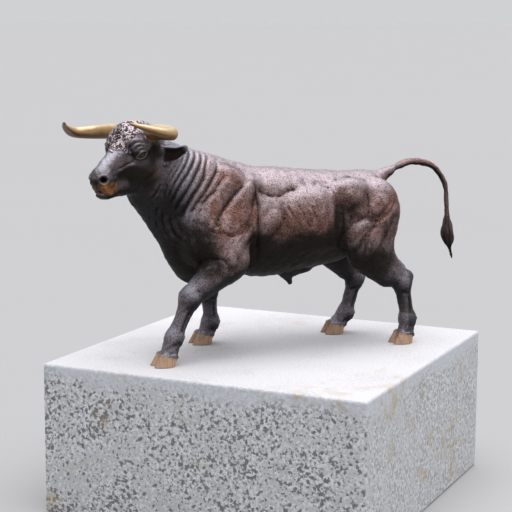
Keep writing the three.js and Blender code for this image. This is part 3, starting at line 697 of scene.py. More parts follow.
WARM = (
    Zone((78, 188), (22, 20)),
    Zone((98, 174), (18, 12), 0.9),
    Zone((110, 200), (16, 26), 0.6),
    Zone((60, 205), (16, 20), 0.5),
    Zone((-50, 205), (24, 12), 0.3),
    Zone((-38, 162), (32, 15)),
    Zone((18, 172), (22, 14), 0.9),
    Zone((-20, 186), (44, 22), 0.35),
    Zone((-112, 152), (30, 14), 0.5),
    Zone((-90, 206), (22, 15), 0.4),
    Zone((-132, 186), (20, 15)),
    Zone((88, 240), (24, 14), 0.7),
    Zone((-160, 214), (14, 20), 0.7),
    Zone((-212, 246), (40, 9), 0.9),
)
# Painted shade, in the side view [x, z]: the hollows of the flank and the quarters, the chest, the dewlap,
# the belly and the legs.
DARK = (
    Zone((-68, 172), (12, 38), 1.2),
    Zone((-102, 150), (22, 18), 0.5),
    Zone((-142, 158), (16, 26), 0.5),
    Zone((66, 176), (12, 12), 0.5),
    Zone((-18, 146), (60, 12), 0.7),
    Zone((-112, 180), (14, 9), 0.6),
    Zone((50, 150), (6, 40), 0.6),
    Zone((124, 128), (20, 16), 0.8),
    Zone((144, 148), (28, 36), 0.95),
    Zone((126, 166), (22, 12), 0.5),
    Zone((172, 214), (16, 26), 0.6),
    Zone((-20, 118), (100, 20), 0.8),
    Zone((-118, 118), (44, 20), 0.7),
    Zone((40, 204), (16, 5), 0.5),
    Zone((158, 60), (34, 40), 0.45),
    Zone((80, 50), (16, 46), 0.6),
    Zone((-172, 60), (20, 44), 0.5),
    Zone((-128, 60), (20, 46), 0.6),
)
FACE_WARM = (
    Zone((42, 16, -26), (14, 8, 5), 0.45),
    Zone((26, 26, -8), (12, 9, 9), 0.3),
    Zone((2, 27, -36), (14, 8, 14), 0.6),
)
# Painted shade on the face: the jaw and cheek, round the eye, by the horn root and the ear, on the front of
# the nose and under the chin.
FACE_DARK = (
    Zone((16, 22, -44), (30, 18, 20)),
    Zone((-6, 26, 2), (14, 10, 12), 0.8),
    Zone((34, 20, -32), (16, 9, 9), 0.5),
    Zone((24, 28, -12), (13, 9, 9), 0.8),
    Zone((0, 28, -14), (12, 9, 14), 0.9),
    Zone((84, 3, -43), (7, 8, 6), 0.9),
    Zone((62, 0, -66), (24, 14, 4.5)),
    Zone((46, 14, -37), (16, 8, 8), 0.7),
)
NOSE_LIGHT = Zone((64, 0, -14), (30, 12, 16))

# Lines of the face in the head's own axes [forward, outward, up], the same on both sides

FACE_LINES = (
    Line(
        ((33.5, 22.5, -7.5), (33, 26.5, -2.3), (28.5, 28.5, -0.4), (22, 29.5, -1.5), (13.5, 29, -5.5)),
        1.7, 1.3, 0.6,
    ),
    Line(((35.5, 16, -4), (36.5, 20.5, 0.3), (33.5, 24, 3.5), (28.5, 27, 4.3), (19, 30, 1.8)), 1.7, 1.5, 0.7),
    Line(((29.5, 20, -18.5), (35, 16.5, -22.5), (46, 13, -26.5), (58, 12, -30)), 1.6, 1.6, 0.2),
    Line(((16, 24.5, -25), (28, 21.5, -24), (36.5, 18, -25), (44.5, 15, -28.5), (55.5, 13, -33)), -1.0, 2.6),
    Line(((62, 12, -27), (62, 13, -33), (59, 12.5, -41), (54, 11, -47)), 0.8, 2.4, 0.3),
    Line(
        ((84, 0, -54), (77, 4, -56), (73, 7.5, -59.3), (66, 9.5, -61.8), (58, 9.5, -61.5), (47.5, 9.5, -57)),
        2.4, 1.4, 0.4, 0.05,
    ),
    Line(
        (
            (84, 5, -39.5), (82, 10, -34.3), (77.5, 14, -33.7), (74.7, 16.5, -37.2),
            (74.5, 16, -42.2), (78, 14, -46.3),
        ),
        -1.6, 1.5, 0, 0.08,
    ),
    Line(((17, 12, -58), (18, 19, -49), (9, 24, -44), (-2, 26, -37), (-8, 27, -30)), 1.0, 2.8, 0.6),
    Line(((-10, 27, -52), (-8, 23.5, -60), (-5, 20, -67), (-3, 16, -71)), 1.6, 1.5, 0.9),
    Line(((9, 28, 2), (1, 28, -5), (-7, 27, -11)), 0.9, 2.4, 0.4),
    Line(((46, 9, -16), (56, 8, -22), (66, 7, -29)), -0.6, 3.0),
    Line(((44, 12, -8), (46, 11, -14), (47, 12, -20)), -0.7, 3.0),
)


@dataclass(frozen=True)
class Eye:
    """An almond eye on the side of the head, in the head's own axes."""

    centre: Point = (23.5, 27, -12.6)
    forward: Point = (0.74, -0.46, -0.49)
    upward: Point = (0.46, 0.44, 0.77)
    half_length: float = 7.6
    half_height: float = 4.6
    reach: float = 16

    def relief(self, at: Array) -> tuple[Array, Array, Array]:
        """How far ball and lids lift the head's points, and where the lids and the ball are."""
        off = at - np.array(self.centre)
        near = length(off) < self.reach
        ahead = unit(np.array(self.forward))
        up = unit(np.array(self.upward) - ahead * float(ahead @ np.array(self.upward)))
        u = off @ ahead / self.half_length
        v = off @ up / self.half_height
        rim = 1 - np.minimum(np.abs(u), 1.4) ** 1.7
        edge = np.abs(v) - rim
        inside = rise(edge, 0.12, -0.12)
        ball = 2.0 * np.sqrt(np.maximum(0, 1 - np.minimum(1, (u * 0.95) ** 2 + (v * 0.7) ** 2)))
        lid = bell(edge - 0.32, 0.24) * rise(np.abs(u), 1.3, 0.9) * near
        crease = -1.1 * bell(edge, 0.15) * rise(np.abs(u), 1.25, 0.9)
        bowl = -1.2 * bell(length(off), 10)
        lift = inside * (ball - 0.6) + lid * np.where(v > 0, 1.6, 1.1) + crease + bowl
        return np.where(near, lift, 0), lid, inside * near


EYE = Eye()
NECK_SHARE = 0.85
CREASE_SHARE = 0.85
MUSCLE_SHARE = 0.85
GROOVE_SHARE = 0.32
HOOF_ROOM = 30  # the hooves lie below this height
NOSTRIL = np.array([79.0, 11.6, -40.0])
CAP_EDGE = np.array([  # how far forward the curls reach at each distance from the head's middle
    (0, 55), (3.5, 53), (6, 48.5), (9.5, 42.5), (16, 38.5), (20, 33.5), (22, 27), (24, 17), (34, 8),
])
CAP_BRIM = np.array([(-30, 2), (-5, 9), (12, 10), (30, -6), (55, -20)])  # how low, from back to front


def face_gap(local: Array) -> Array:
    """Distance of head points from the middle of the face."""
    return length(local - np.array([32, 0, -22]))


def folded(local: Array) -> Array:
    """Head points with the right half laid over the left."""
    return np.stack([local[:, 0], np.abs(local[:, 1]), local[:, 2]], 1)


SINEWS = (  # joint (0 knee or hock, 1 fetlock), down and back from it, twice, then a line's depth, width, rim
    (0, 16, 3.2, 1, -8, 2.6, 1.6, 1.7, 0.5),  # tendon
    (0, 14, -4, 1, -6, -4, -0.7, 2.4),  # bone
    (0, 12, -11, 0, 13, 8, 0.9, 1.6, 0.5),  # under the knee
    (0, -12, -10, 0, -9, 8, 0.8, 1.8, 0.4),  # over the knee
    (1, -9, -9, 1, -8, 9, 0.7, 1.6, 0.4),  # over the fetlock
    (1, 10, -10, 1, 9, 8, 0.8, 1.6, 0.5),  # under the fetlock
)


class Figure:
    """The bull as a distance field with its relief."""

    MARGIN = 14.0

    def __init__(self) -> None:
        """Gathers the masses, the bars and the claws."""
        self.masses = [*trunk(), *quarters(1), *quarters(-1)]
        for build, legs in ((foreleg, LEGS[:2]), (hindleg, LEGS[2:])):
            for leg in legs:
                self.masses += build(leg)
        self.head = head_masses()
        self.horns = [horn(1), horn(-1)]
        self.ears = [ear(1), ear(-1)]
        self.tail = tail_bar()
        self.sheath = sheath_bar()
        self.claws = [Claw(leg.toe, s) for leg in LEGS for s in (1, -1)]

    def melted(self, at: Array, masses: Iterable, nearest: Array) -> Array:
        """Joins masses to what is nearest so far.

        Args:
            at: Points in the masses' own axes.
            masses: What is joined, in order.
            nearest: Distances so far, changed in place.

        Returns:
            The joined distances.
        """
        for mass in masses:
            far = length(at - mass.middle) - mass.reach
            close = np.nonzero(far < self.MARGIN + mass.melt)[0]
            if not len(close):
                continue
            gap = mass.gap(at[close])
            held = nearest[close]
            overlap = np.maximum(0, mass.melt - np.abs(held - gap)) / mass.melt
            nearest[close] = np.minimum(held, gap) - overlap**2 * mass.melt / 4
        return nearest

    def hollow(self, at: Array) -> Array:
        """How deep the grooves cut: full on the flanks, nothing near the middle line."""
        flank = rise(np.abs(at[:, 1]), 14, 26)
        flank[(at[:, 2] < 95) | (at[:, 0] > 150)] = 0
        cut = np.zeros(len(at))
        where = np.nonzero(flank > 0)[0]
        side_view = at[where][:, [0, 2]]
        for groove in GROOVES:
            distance, _ = near_line(side_view, np.array(groove.run, float))
            cut[where] = np.maximum(cut[where], groove.depth * bell(distance, groove.width))
        return GROOVE_SHARE * cut * flank

    def body(self, at: Array) -> Array:
        """Distance to the melted masses with their grooves."""
        nearest = np.full(len(at), FAR)
        self.melted(at, self.masses, nearest)
        self.melted(SKULL.inward(at), self.head, nearest)
        return nearest + self.hollow(at)

    def field(self, at: Array) -> Array:
        """Distance to the whole figure."""
        grown = [*self.horns, *self.ears, self.tail, self.sheath, *self.claws]
        return self.melted(at, grown, self.body(at))

    def slope(self, at: Array, here: Array) -> Array:
        """Direction in which the distance grows, and how fast."""
        step = 0.35
        out = np.empty_like(at)
        for axis in range(3):
            aside = at.copy()
            aside[:, axis] += step
            out[:, axis] = (self.field(aside) - here) / step
        return out

    def settle(self, at: Array, passes: int = 1) -> Array:
        """Moves points onto the skin."""
        for _ in range(passes):
            here = self.field(at)
            grade = self.slope(at, here)
            steep = np.maximum(0.25, (grade * grade).sum(1))
            step = np.clip(here / steep, -2.5, 2.5)
            at = at - step[:, None] * grade
        return at

    def cap(self, at: Array) -> Array:
        """1 where the curly hair grows, at points in the head's axes."""
        out = np.abs(at[:, 1])
        edge = np.interp(out, *CAP_EDGE.T)
        ragged = 1.4 * clutter(at, 3.5, SEED + 3)
        front = rise(edge + ragged - at[:, 0], -0.5, 2.0)
        top = rise(at[:, 2] - np.interp(at[:, 0], *CAP_BRIM.T) + ragged, -1, 2)
        nape = rise(at[:, 0] + ragged, -27, -20)
        return front * top * nape * rise(out, 36, 30)

    def curls(self, at: Array, amount: Array) -> tuple[Array, Array]:
        """Tight curls of hair on the poll, at points in the head's axes, and where they stand up."""
        where = np.nonzero(amount > 0.02)[0]
        spots = at[where]
        locks = 1 - np.abs(clutter(spots, 4.2, SEED + 7))
        strands = 1 - np.abs(clutter(spots, 1.9, SEED + 8, 40))
        lift = amount[where] * (0.5 + 0.7 * locks + 0.8 * strands)
        tops = np.clip(0.28 * locks + 0.72 * strands + 0.1, 0, 1)
        return scattered(lift, where, len(at)), scattered(tops, where, len(at))

    def relief(self, at: Array, out: Array) -> tuple[Array, dict[str, Array]]:
        """Everything that is drawn on the settled skin.

        Args:
            at: Points on the skin.
            out: The skin's directions there.

        Returns:
            How each point is moved, and the masks that the finish reads.
        """
        count = len(at)
        local = SKULL.inward(at)
        side_view = at[:, [0, 2]]
        gap_body = self.body(at)
        horns, ears, claws = (self.nearest(grown, at) for grown in (self.horns, self.ears, self.claws))
        on_head = rise(face_gap(local), 72, 60)
        on_horn = rise(gap_body - horns, -0.6, 0.8) * rise(horns, 3, 1)
        on_ear = rise(gap_body - ears, 0.0, 2.0) * rise(ears, 3, 1)
        ragged = clutter(at, 2.5, SEED + 5)
        coronet = self.coronet(at)
        on_hoof = rise(at[:, 2] + 0.6 * ragged - coronet, 0.8, -0.8) * rise(claws, 4, 2)
        on_hoof *= at[:, 2] < HOOF_ROOM
        smooth = (1 - on_horn) * (1 - on_ear)
        plain = smooth * (1 - on_hoof)
        cap = self.cap(local) * on_head * smooth
        tuft_lift, on_tuft = self.tuft(at)

        lift = np.zeros(count)
        flank = rise(np.abs(at[:, 1]), 13, 30) * plain * (1 - on_head)
        neck = rise(np.abs(at[:, 1] - 0.14 * (at[:, 0] - 100)), 4, 13) * plain * rise(local[:, 0], 4, -10)
        drawings = (
            (CREASE_SHARE, BODY_LINES, flank), (MUSCLE_SHARE, MUSCLES, flank), (NECK_SHARE, NECK_FOLDS, neck),
        )
        for share, shapes, over in drawings:
            for drawn in shapes:
                lift += share * drawn.relief(side_view) * over

        where = np.nonzero(on_head > 0)[0]
        spots = folded(local[where])
        eye_lift, lid, ball = EYE.relief(spots)
        to_nostril = length((spots - NOSTRIL) / np.array([1.1, 1, 0.95]))
        face = eye_lift + sum(line.relief(spots) for line in FACE_LINES)
        face += -5.5 * np.exp(-((to_nostril / 3.9) ** 4)) + bell(to_nostril - 6.2, 1.5)
        lift += scattered(face, where, count) * on_head * smooth * (1 - 0.85 * cap)
        curls, tops = self.curls(local, cap)
        shift, in_ear, rim = self.ear_hollow(at, on_ear)
        lift += curls - on_horn + self.hooves(at, on_hoof, coronet) + self.legs(at) * plain + tuft_lift
        skin = plain * (1 - cap) * (1 - on_tuft)
        lift += skin * (0.22 * clutter(at, 7, SEED + 1) + 0.12 * clutter(at, 3.2, SEED + 2))

        to_lip = length((spots - np.array([68, 9, -51])) / np.array([1.25, 1, 0.8]))
        lips = rise(to_lip + 1.2 * ragged[where], 17, 6) * on_head[where]
        lips *= rise(spots[:, 2], -41, -45) * rise(spots[:, 2], -61.5, -58)
        in_face = {
            "lips": lips,
            "eye": ball,
            "lid": lid,
            "hole": rise(to_nostril, 4.9, 3.2),
            "warm": on_head[where] * tone(FACE_WARM, spots),
            "dark": on_head[where] * tone(FACE_DARK, spots),
        }
        masks = {name: scattered(values, where, count) for name, values in in_face.items()}
        # Warm zones are the patina's own reddish tone; dark zones are painted shade.
        for name, zones in (("warm", WARM), ("dark", DARK)):
            masks[name] = (masks[name] + (1 - on_head) * tone(zones, side_view)) * (1 - cap)
        low_or_fore = np.maximum(rise(at[:, 2], 130, 95), rise(at[:, 0], 115, 150))
        return lift[:, None] * out + shift, masks | {
            "horn": on_horn,
            "hoof": on_hoof,
            "ear": in_ear,
            "hair": cap,
            "tuft": on_tuft,
            "curl": tops,
            "face": on_head * (1 - cap),
            "shine": on_head * NOSE_LIGHT.over(local),
            "rim": rim,
            "cool": np.maximum(on_head * (1 - cap), low_or_fore),
        }

    def nearest(self, grown: list, at: Array) -> Array:
        """Distance to the closest of some bars or claws, large far from them."""
        best = np.full(len(at), FAR)
        for piece in grown:
            close = np.nonzero(length(at - piece.middle) - piece.reach < 8)[0]
            if len(close):
                best[close] = np.minimum(best[close], piece.gap(at[close]))
        return best

    def ear_hollow(self, at: Array, on_ear: Array) -> tuple[Array, Array, Array]:
        """How the front of each ear is drawn back into a shell, how deep, and where its rim is."""
        where = np.nonzero(on_ear > 0.02)[0]
        spots = at[where]
        left = np.where(SKULL.inward(spots)[:, 1] > 0, 1, -1)
        shift = np.zeros_like(at)
        depth = np.zeros(len(where))
        rim = np.zeros(len(where))
        for side, bar in zip((1, -1), self.ears):
            t, through, over, _ = bar.locate(spots)
            half, breadth, bend = bar.across(t)
            own = (left == side) * on_ear[where]
            share = np.clip(np.abs(over) / breadth, 0, 1)
            front = rise((through - bend * share**2) * side / half, 0.0, 0.35)
            bowl = own * front * rise(share, 0.88, 0.45) * rise(t, 0.16, 0.40) * rise(t, 0.97, 0.80)
            index = np.minimum((t * (bar.SAMPLES - 1)).astype(int), bar.SAMPLES - 1)
            strands = 0.25 * np.cos(10 * over / breadth + 3 * t)
            shift[where] -= side * (bowl * (2 * half - 1.5 + strands))[:, None] * bar.thick[index]
            depth += bowl
            rim += own * rise(share, 0.84, 0.97) * rise(t, 0.2, 0.35)
        return shift, scattered(depth, where, len(at)), scattered(rim, where, len(at))

    def coronet(self, at: Array) -> Array:
        """Height of the claws' upper edge at each point: high at the toe, low at the heel."""
        toes = np.array([leg.toe for leg in LEGS], float)
        nearest = length(at[:, None, :2] - toes[None, :, :2]).argmin(1)
        return np.clip(14.8 - 0.3 * (toes[nearest, 0] - at[:, 0]), 6.5, 15.2)

    def hooves(self, at: Array, on_hoof: Array, coronet: Array) -> Array:
        """Growth lines of the claws and the fringe of hair above them."""
        lines = 0.16 * np.cos(2 * math.pi * (at[:, 2] + 0.12 * at[:, 0]) / 2.4) * on_hoof
        fringe = bell(at[:, 2] - coronet - 1.8, 2.0) * (0.9 + 0.5 * clutter(at, 1.6, SEED + 9))
        return lines * rise(at[:, 2], 1, 3) + fringe * (at[:, 2] < HOOF_ROOM)

    def legs(self, at: Array) -> Array:
        """Tendons and joints of the legs."""
        lift = np.zeros(len(at))
        for leg in LEGS:
            where = np.nonzero((np.abs(at[:, 1] - leg.toe[1]) < 17) & (at[:, 2] < 112))[0]
            spots = at[where][:, [0, 2]]
            joints = [np.array([x, z], float) for x, _, z in (leg.middle, leg.fetlock)]
            down = unit(joints[1] - joints[0])
            back = down[::-1]
            total = np.zeros(len(where))
            for start, a, b, end, c, d, *shape in SINEWS:
                run = (joints[start] + a * down + b * back, joints[end] + c * down + d * back)
                total += Line(run, *shape).relief(spots)
            outer = np.abs(at[where, 1] - leg.toe[1]) > 2
            lift[where] += np.where(outer, total, 0.4 * total)
        return lift

    def tuft(self, at: Array) -> tuple[Array, Array]:
        """Strands of the tail's tuft, and where it is."""
        where = np.nonzero(at[:, 0] < -172)[0]
        t, through, over, _ = self.tail.locate(at[where])
        turn = np.arctan2(over, through)
        on = rise(t, 0.68, 0.78)
        strands = np.cos(6 * turn + 16 * t) + 0.6 * np.cos(9 * turn - 22 * t + 1)
        lift = on * (1.1 * strands + 0.9 * clutter(at[where], 11, SEED + 13)) * rise(t, 1.0, 0.93)
        lift += 1.5 * rise(at[where, 0], -174, -188) * rise(t, 0.66, 0.25)
        return scattered(lift, where, len(at)), scattered(on, where, len(at))


class Skin:
    """The bull's mesh, refined from the solid's and carried onto the figure."""

    ROUNDS = 4
    RELAXES = 2
    BODY_GRAIN, CREASE_GRAIN, LEG_GRAIN, HOOF_GRAIN = 3.1, 1.9, 2.25, 1.6
    HEAD_GRAIN, CURL_GRAIN, FACE_GRAIN, TAIL_GRAIN, TUFT_GRAIN = 1.2, 1.0, 0.62, 1.7, 1.15

    def __init__(self, figure: Figure) -> None:
        """Keeps the figure that the mesh is carried onto."""
        self.figure = figure

    def grain(self, at: Array) -> Array:
        """Length of a triangle's edge wanted at each point, in millimetres."""
        local = SKULL.inward(at)
        head = face_gap(local)
        size = np.full(len(at), self.BODY_GRAIN)
        side_view = at[:, [0, 2]]
        for line in (*BODY_LINES, *NECK_FOLDS):
            distance, _ = near_line(side_view, np.array(line.run, float))
            size = np.minimum(size, self.CREASE_GRAIN + 0.22 * np.maximum(0, distance - 3))
        size = np.where(at[:, 2] < 100, self.LEG_GRAIN, size)
        size = np.minimum(size, self.HEAD_GRAIN + 1.7 * rise(head, 56, 84))
        size = np.where(self.figure.cap(local) * rise(head, 72, 60) > 0.1, self.CURL_GRAIN, size)
        for centre, radius in ((EYE.centre, 10), (NOSTRIL, 7), ((70, 9, -59), 9)):
            close = length(folded(local) - np.array(centre, float))
            size = np.minimum(size, self.FACE_GRAIN + 0.12 * np.maximum(0, close - radius))
        size = np.where(at[:, 0] < -200, self.TAIL_GRAIN, size)
        size = np.where((at[:, 0] < -200) & (at[:, 2] < 165), self.TUFT_GRAIN, size)
        return np.where(at[:, 2] < 24, self.HOOF_GRAIN, size)

    def refine(self, mesh: bpy.types.Mesh, stretch: float) -> int:
        """Halves every edge that is much longer than wanted.

        Args:
            mesh: The mesh, in the part's metres.
            stretch: How many times the wanted length an edge may be.

        Returns:
            How many edges were halved.
        """
        at = to_figure(coordinates(mesh))
        ends = edge_ends(mesh)
        span = length(at[ends[:, 0]] - at[ends[:, 1]])
        middle = (at[ends[:, 0]] + at[ends[:, 1]]) / 2
        long = np.nonzero(span > stretch * self.grain(middle))[0]
        bm = bmesh.new()
        bm.from_mesh(mesh)
        bm.edges.ensure_lookup_table()
        bmesh.ops.subdivide_edges(bm, edges=[bm.edges[i] for i in long], cuts=1, use_grid_fill=True)
        bmesh.ops.triangulate(bm, faces=[f for f in bm.faces if len(f.verts) > 3])
        bm.to_mesh(mesh)
        bm.free()
        return len(long)

    def relax(self, at: Array, ends: Array, out: Array, share: float) -> Array:
        """Slides each point along the skin towards the middle of its neighbours."""
        pull = neighbour_mean(at, ends) - at
        return at + share * (pull - (pull * out).sum(1)[:, None] * out)

    def build(self, source: bpy.types.Object) -> tuple[bpy.types.Mesh, dict[str, Array]]:
        """Makes the finished mesh.

        Args:
            source: The solid's own object, which is left as it is.

        Returns:
            The mesh, and the masks of its points.
        """
        mesh = source.data.copy()
        mesh.name = "bull_skin"
        mesh.materials.clear()
        bm = bmesh.new()
        bm.from_mesh(mesh)
        bmesh.ops.remove_doubles(bm, verts=bm.verts, dist=2e-6)
        bm.to_mesh(mesh)
        bm.free()
        for turn in range(self.ROUNDS):
            self.refine(mesh, 1.4)
            at = self.figure.settle(to_figure(coordinates(mesh)))
            if turn >= 1:
                at = self.relax(at, edge_ends(mesh), normals_of(mesh, at), 0.5)
            place(mesh, at)
        ends = edge_ends(mesh)
        at = to_figure(coordinates(mesh))
        for _ in range(self.RELAXES):
            at = self.relax(at, ends, normals_of(mesh, at), 0.5)
            at = self.figure.settle(at)
        out = normals_of(mesh, at)
        move, masks = self.figure.relief(at, unit(neighbour_mean(out, ends) + out))
        finished = at + move
        finished[:, 2] = np.maximum(finished[:, 2], 0)
        place(mesh, finished)
        final_out = normals_of(mesh, finished)
        # How far the skin faces up, before and after its relief; the finish paints light and shade from it.
        masks["sky"] = 0.5 + 0.25 * (blurred(out[:, 2], ends, 3) + blurred(final_out[:, 2], ends, 2))
        # Ridges and hollows, small and broad, which the finish paints lighter and darker.
        masks["fine"] = bulge(finished, final_out, ends, 2, 0.35)
        masks["broad"] = bulge(finished, final_out, ends, 10, 0.9)
        return mesh, masks


def coordinates(mesh: bpy.types.Mesh) -> Array:
    """The mesh's points, one a row."""
    flat = np.empty(3 * len(mesh.vertices), np.float32)
    mesh.vertices.foreach_get("co", flat)
    return flat.reshape(-1, 3).astype(float)


def carry(mesh: bpy.types.Mesh, name: str, values: Array) -> None:
    """Keeps a number for each of the mesh's points."""
    mesh.attributes.new(name, "FLOAT", "POINT").data.foreach_set("value", values.astype(np.float32))


def edge_ends(mesh: bpy.types.Mesh) -> Array:
    """The two points of each edge."""
    flat = np.empty(2 * len(mesh.edges), np.int32)
    mesh.edges.foreach_get("vertices", flat)
    return flat.reshape(-1, 2)


def place(mesh: bpy.types.Mesh, at: Array) -> None:
    """Sets the mesh's points from figure millimetres."""
    mesh.vertices.foreach_set("co", to_part(at).astype(np.float32).ravel())
    mesh.update()


def normals_of(mesh: bpy.types.Mesh, at: Array) -> Array:
    """The directions of a triangle mesh's points, in figure axes."""
    corners = np.empty(len(mesh.loops), np.int32)
    mesh.loops.foreach_get("vertex_index", corners)
    corners = corners.reshape(-1, 3)
    a, b, c = (at[corners[:, k]] for k in range(3))
    face = np.cross(b - a, c - a)
    out = np.stack([
        sum(np.bincount(corners[:, k], face[:, axis], len(at)) for k in range(3)) for axis in range(3)
    ], 1)
    return unit(out)


def neighbour_mean(values: Array, ends: Array) -> Array:
    """The mean of each point's neighbours' values."""
    count = np.bincount(ends.ravel(), minlength=len(values))
    rows = values.reshape(len(values), -1)
    columns = [
        np.bincount(ends[:, 0], rows[ends[:, 1], k], len(rows))
        + np.bincount(ends[:, 1], rows[ends[:, 0], k], len(rows))
        for k in range(rows.shape[1])
    ]
    mean = np.stack(columns, 1) / np.maximum(count, 1)[:, None]
    return mean.reshape(values.shape)


def blurred(values: Array, ends: Array, passes: int) -> Array:
    """Values evened out over the mesh."""
    for _ in range(passes):
        values = 0.4 * values + 0.6 * neighbour_mean(values, ends)
    return values


def bulge(at: Array, out: Array, ends: Array, passes: int, spread: float) -> Array:
    """How far the skin stands out from what is round it: 0.5 is flat, more is a ridge."""
    proud = ((at - blurred(at, ends, passes)) * out).sum(1)
    return np.clip(0.5 + 0.5 * blurred(proud, ends, 1) / spread, 0, 1)


# Shaders


class Signal:
    """A shader socket whose arithmetic adds nodes."""

    def __init__(self, graph: "Graph", socket: bpy.types.NodeSocket) -> None:
        """Keeps the socket and the graph that it is in."""
        self.graph = graph
        self.socket = socket

    def join(self, operation: str, first: Value, second: Value) -> "Signal":
        """A Math node of two values."""
        return self.graph.node("ShaderNodeMath", {"operation": operation}, {0: first, 1: second})

    def __add__(self, other: Value) -> "Signal":
        """Sum."""
        return self.join("ADD", self, other)

    __radd__ = __add__

    def __mul__(self, other: Value) -> "Signal":
        """Product."""
        return self.join("MULTIPLY", self, other)

    __rmul__ = __mul__

    def __sub__(self, other: Value) -> "Signal":
        """Difference."""
        return self.join("SUBTRACT", self, other)

    def __rsub__(self, other: Value) -> "Signal":
        """A value less this."""
        return self.join("SUBTRACT", other, self)

    def least(self, other: Value) -> "Signal":
        """The smaller of two."""
        return self.join("MINIMUM", self, other)

    def most(self, other: Value) -> "Signal":
        """The larger of two."""
        return self.join("MAXIMUM", self, other)

    def step(self, low: float, high: float) -> "Signal":
        """A smooth step from 0 at low to 1 at high."""
        settings = {"interpolation_type": "SMOOTHSTEP"}
        return self.graph.node("ShaderNodeMapRange", settings, {0: self, 1: low, 2: high, 3: 0.0, 4: 1.0})


class Graph:
    """The nodes of one material, or of the studio's sky."""

    def __init__(self, tree: bpy.types.NodeTree) -> None:
        """Starts an empty graph.

        Args:
            tree: The node tree that it fills.
        """
        self.tree = tree
        self.tree.nodes.clear()
        self.material: bpy.types.Material | None = None
        self.place = self.node("ShaderNodeTexCoord", output="Object")

    @classmethod
    def of_material(cls, name: str) -> "Graph":
        """The graph of a new material."""
        material = bpy.data.materials.new(name)
        material.use_nodes = True
        graph = cls(material.node_tree)
        graph.material = material
        return graph

    def node(
        self, kind: str, settings: dict | None = None, inputs: dict | None = None, output: int | str = 0
    ) -> Signal:
        """Adds a node.

        Args:
            kind: The node's type.
            settings: Its own properties; stops are a ramp's places and colours.
            inputs: Numbers, colours or signals by socket name or place.
            output: Which socket is handed on.

        Returns:
            The chosen output.
        """
        made = self.tree.nodes.new(kind)
        for key, value in (settings or {}).items():
            if key == "stops":
                ramp = made.color_ramp
                while len(ramp.elements) < len(value):
                    ramp.elements.new(1.0)
                for element, (at, colour) in zip(ramp.elements, value):
                    element.position = at
                    element.color = (*colour, 1.0)
            else:
                setattr(made, key, value)
        for key, value in (inputs or {}).items():
            socket = made.inputs[key]
            if isinstance(value, Signal):
                self.tree.links.new(value.socket, socket)
            elif isinstance(value, tuple) and len(value) == 3 and socket.type == "RGBA":
                socket.default_value = (*value, 1.0)
            else:
                socket.default_value = value
        return Signal(self, made.outputs[output])

    def attribute(self, name: str) -> Signal:
        """A mask that the mesh carries."""
        return self.node("ShaderNodeAttribute", {"attribute_name": name}, output="Fac")

    def noise(self, scale: float, detail: float = 4, rough: float = 0.55, warp: float = 0) -> Signal:
        """Cloudy noise; the scale is in lumps a metre."""
        inputs = {"Vector": self.place, "Scale": scale, "Detail": detail, "Roughness": rough}
        return self.node("ShaderNodeTexNoise", None, inputs | {"Distortion": warp})

    def cells(self, scale: float) -> Signal:
        """Distances in a cell pattern; the scale is in cells a metre."""
        return self.node("ShaderNodeTexVoronoi", None, {"Vector": self.place, "Scale": scale}, "Distance")

    def along(self, axis: str, vector: Signal | None = None) -> Signal:
        """A vector's share along an axis; if none is given, the direction that the surface faces."""
        vector = vector or self.node("ShaderNodeNewGeometry", output="Normal")
        return self.node("ShaderNodeSeparateXYZ", None, {"Vector": vector}, axis)

    def mix(self, factor: Value, first: "Colour | Signal", second: "Colour | Signal") -> Signal:
        """From the first colour to the second."""
        return self.node("ShaderNodeMix", {"data_type": "RGBA"}, {0: factor, 6: first, 7: second}, 2)

    def bump(self, height: Signal, distance: float, strength: float = 1.0) -> Signal:
        """Relief from a height, in metres at full height."""
        inputs = {"Strength": strength, "Distance": distance, "Height": height}
        return self.node("ShaderNodeBump", None, inputs, "Normal")

    def finish(self, shader: dict) -> bpy.types.Material:
        """Ends in one shader.

        Args:
            shader: Its sockets' values and signals.

        Returns:
            The material.
        """
        surface = self.node("ShaderNodeBsdfPrincipled", None, shader)
        out = self.tree.nodes.new("ShaderNodeOutputMaterial")
        self.tree.links.new(surface.socket, out.inputs["Surface"])
        return self.material


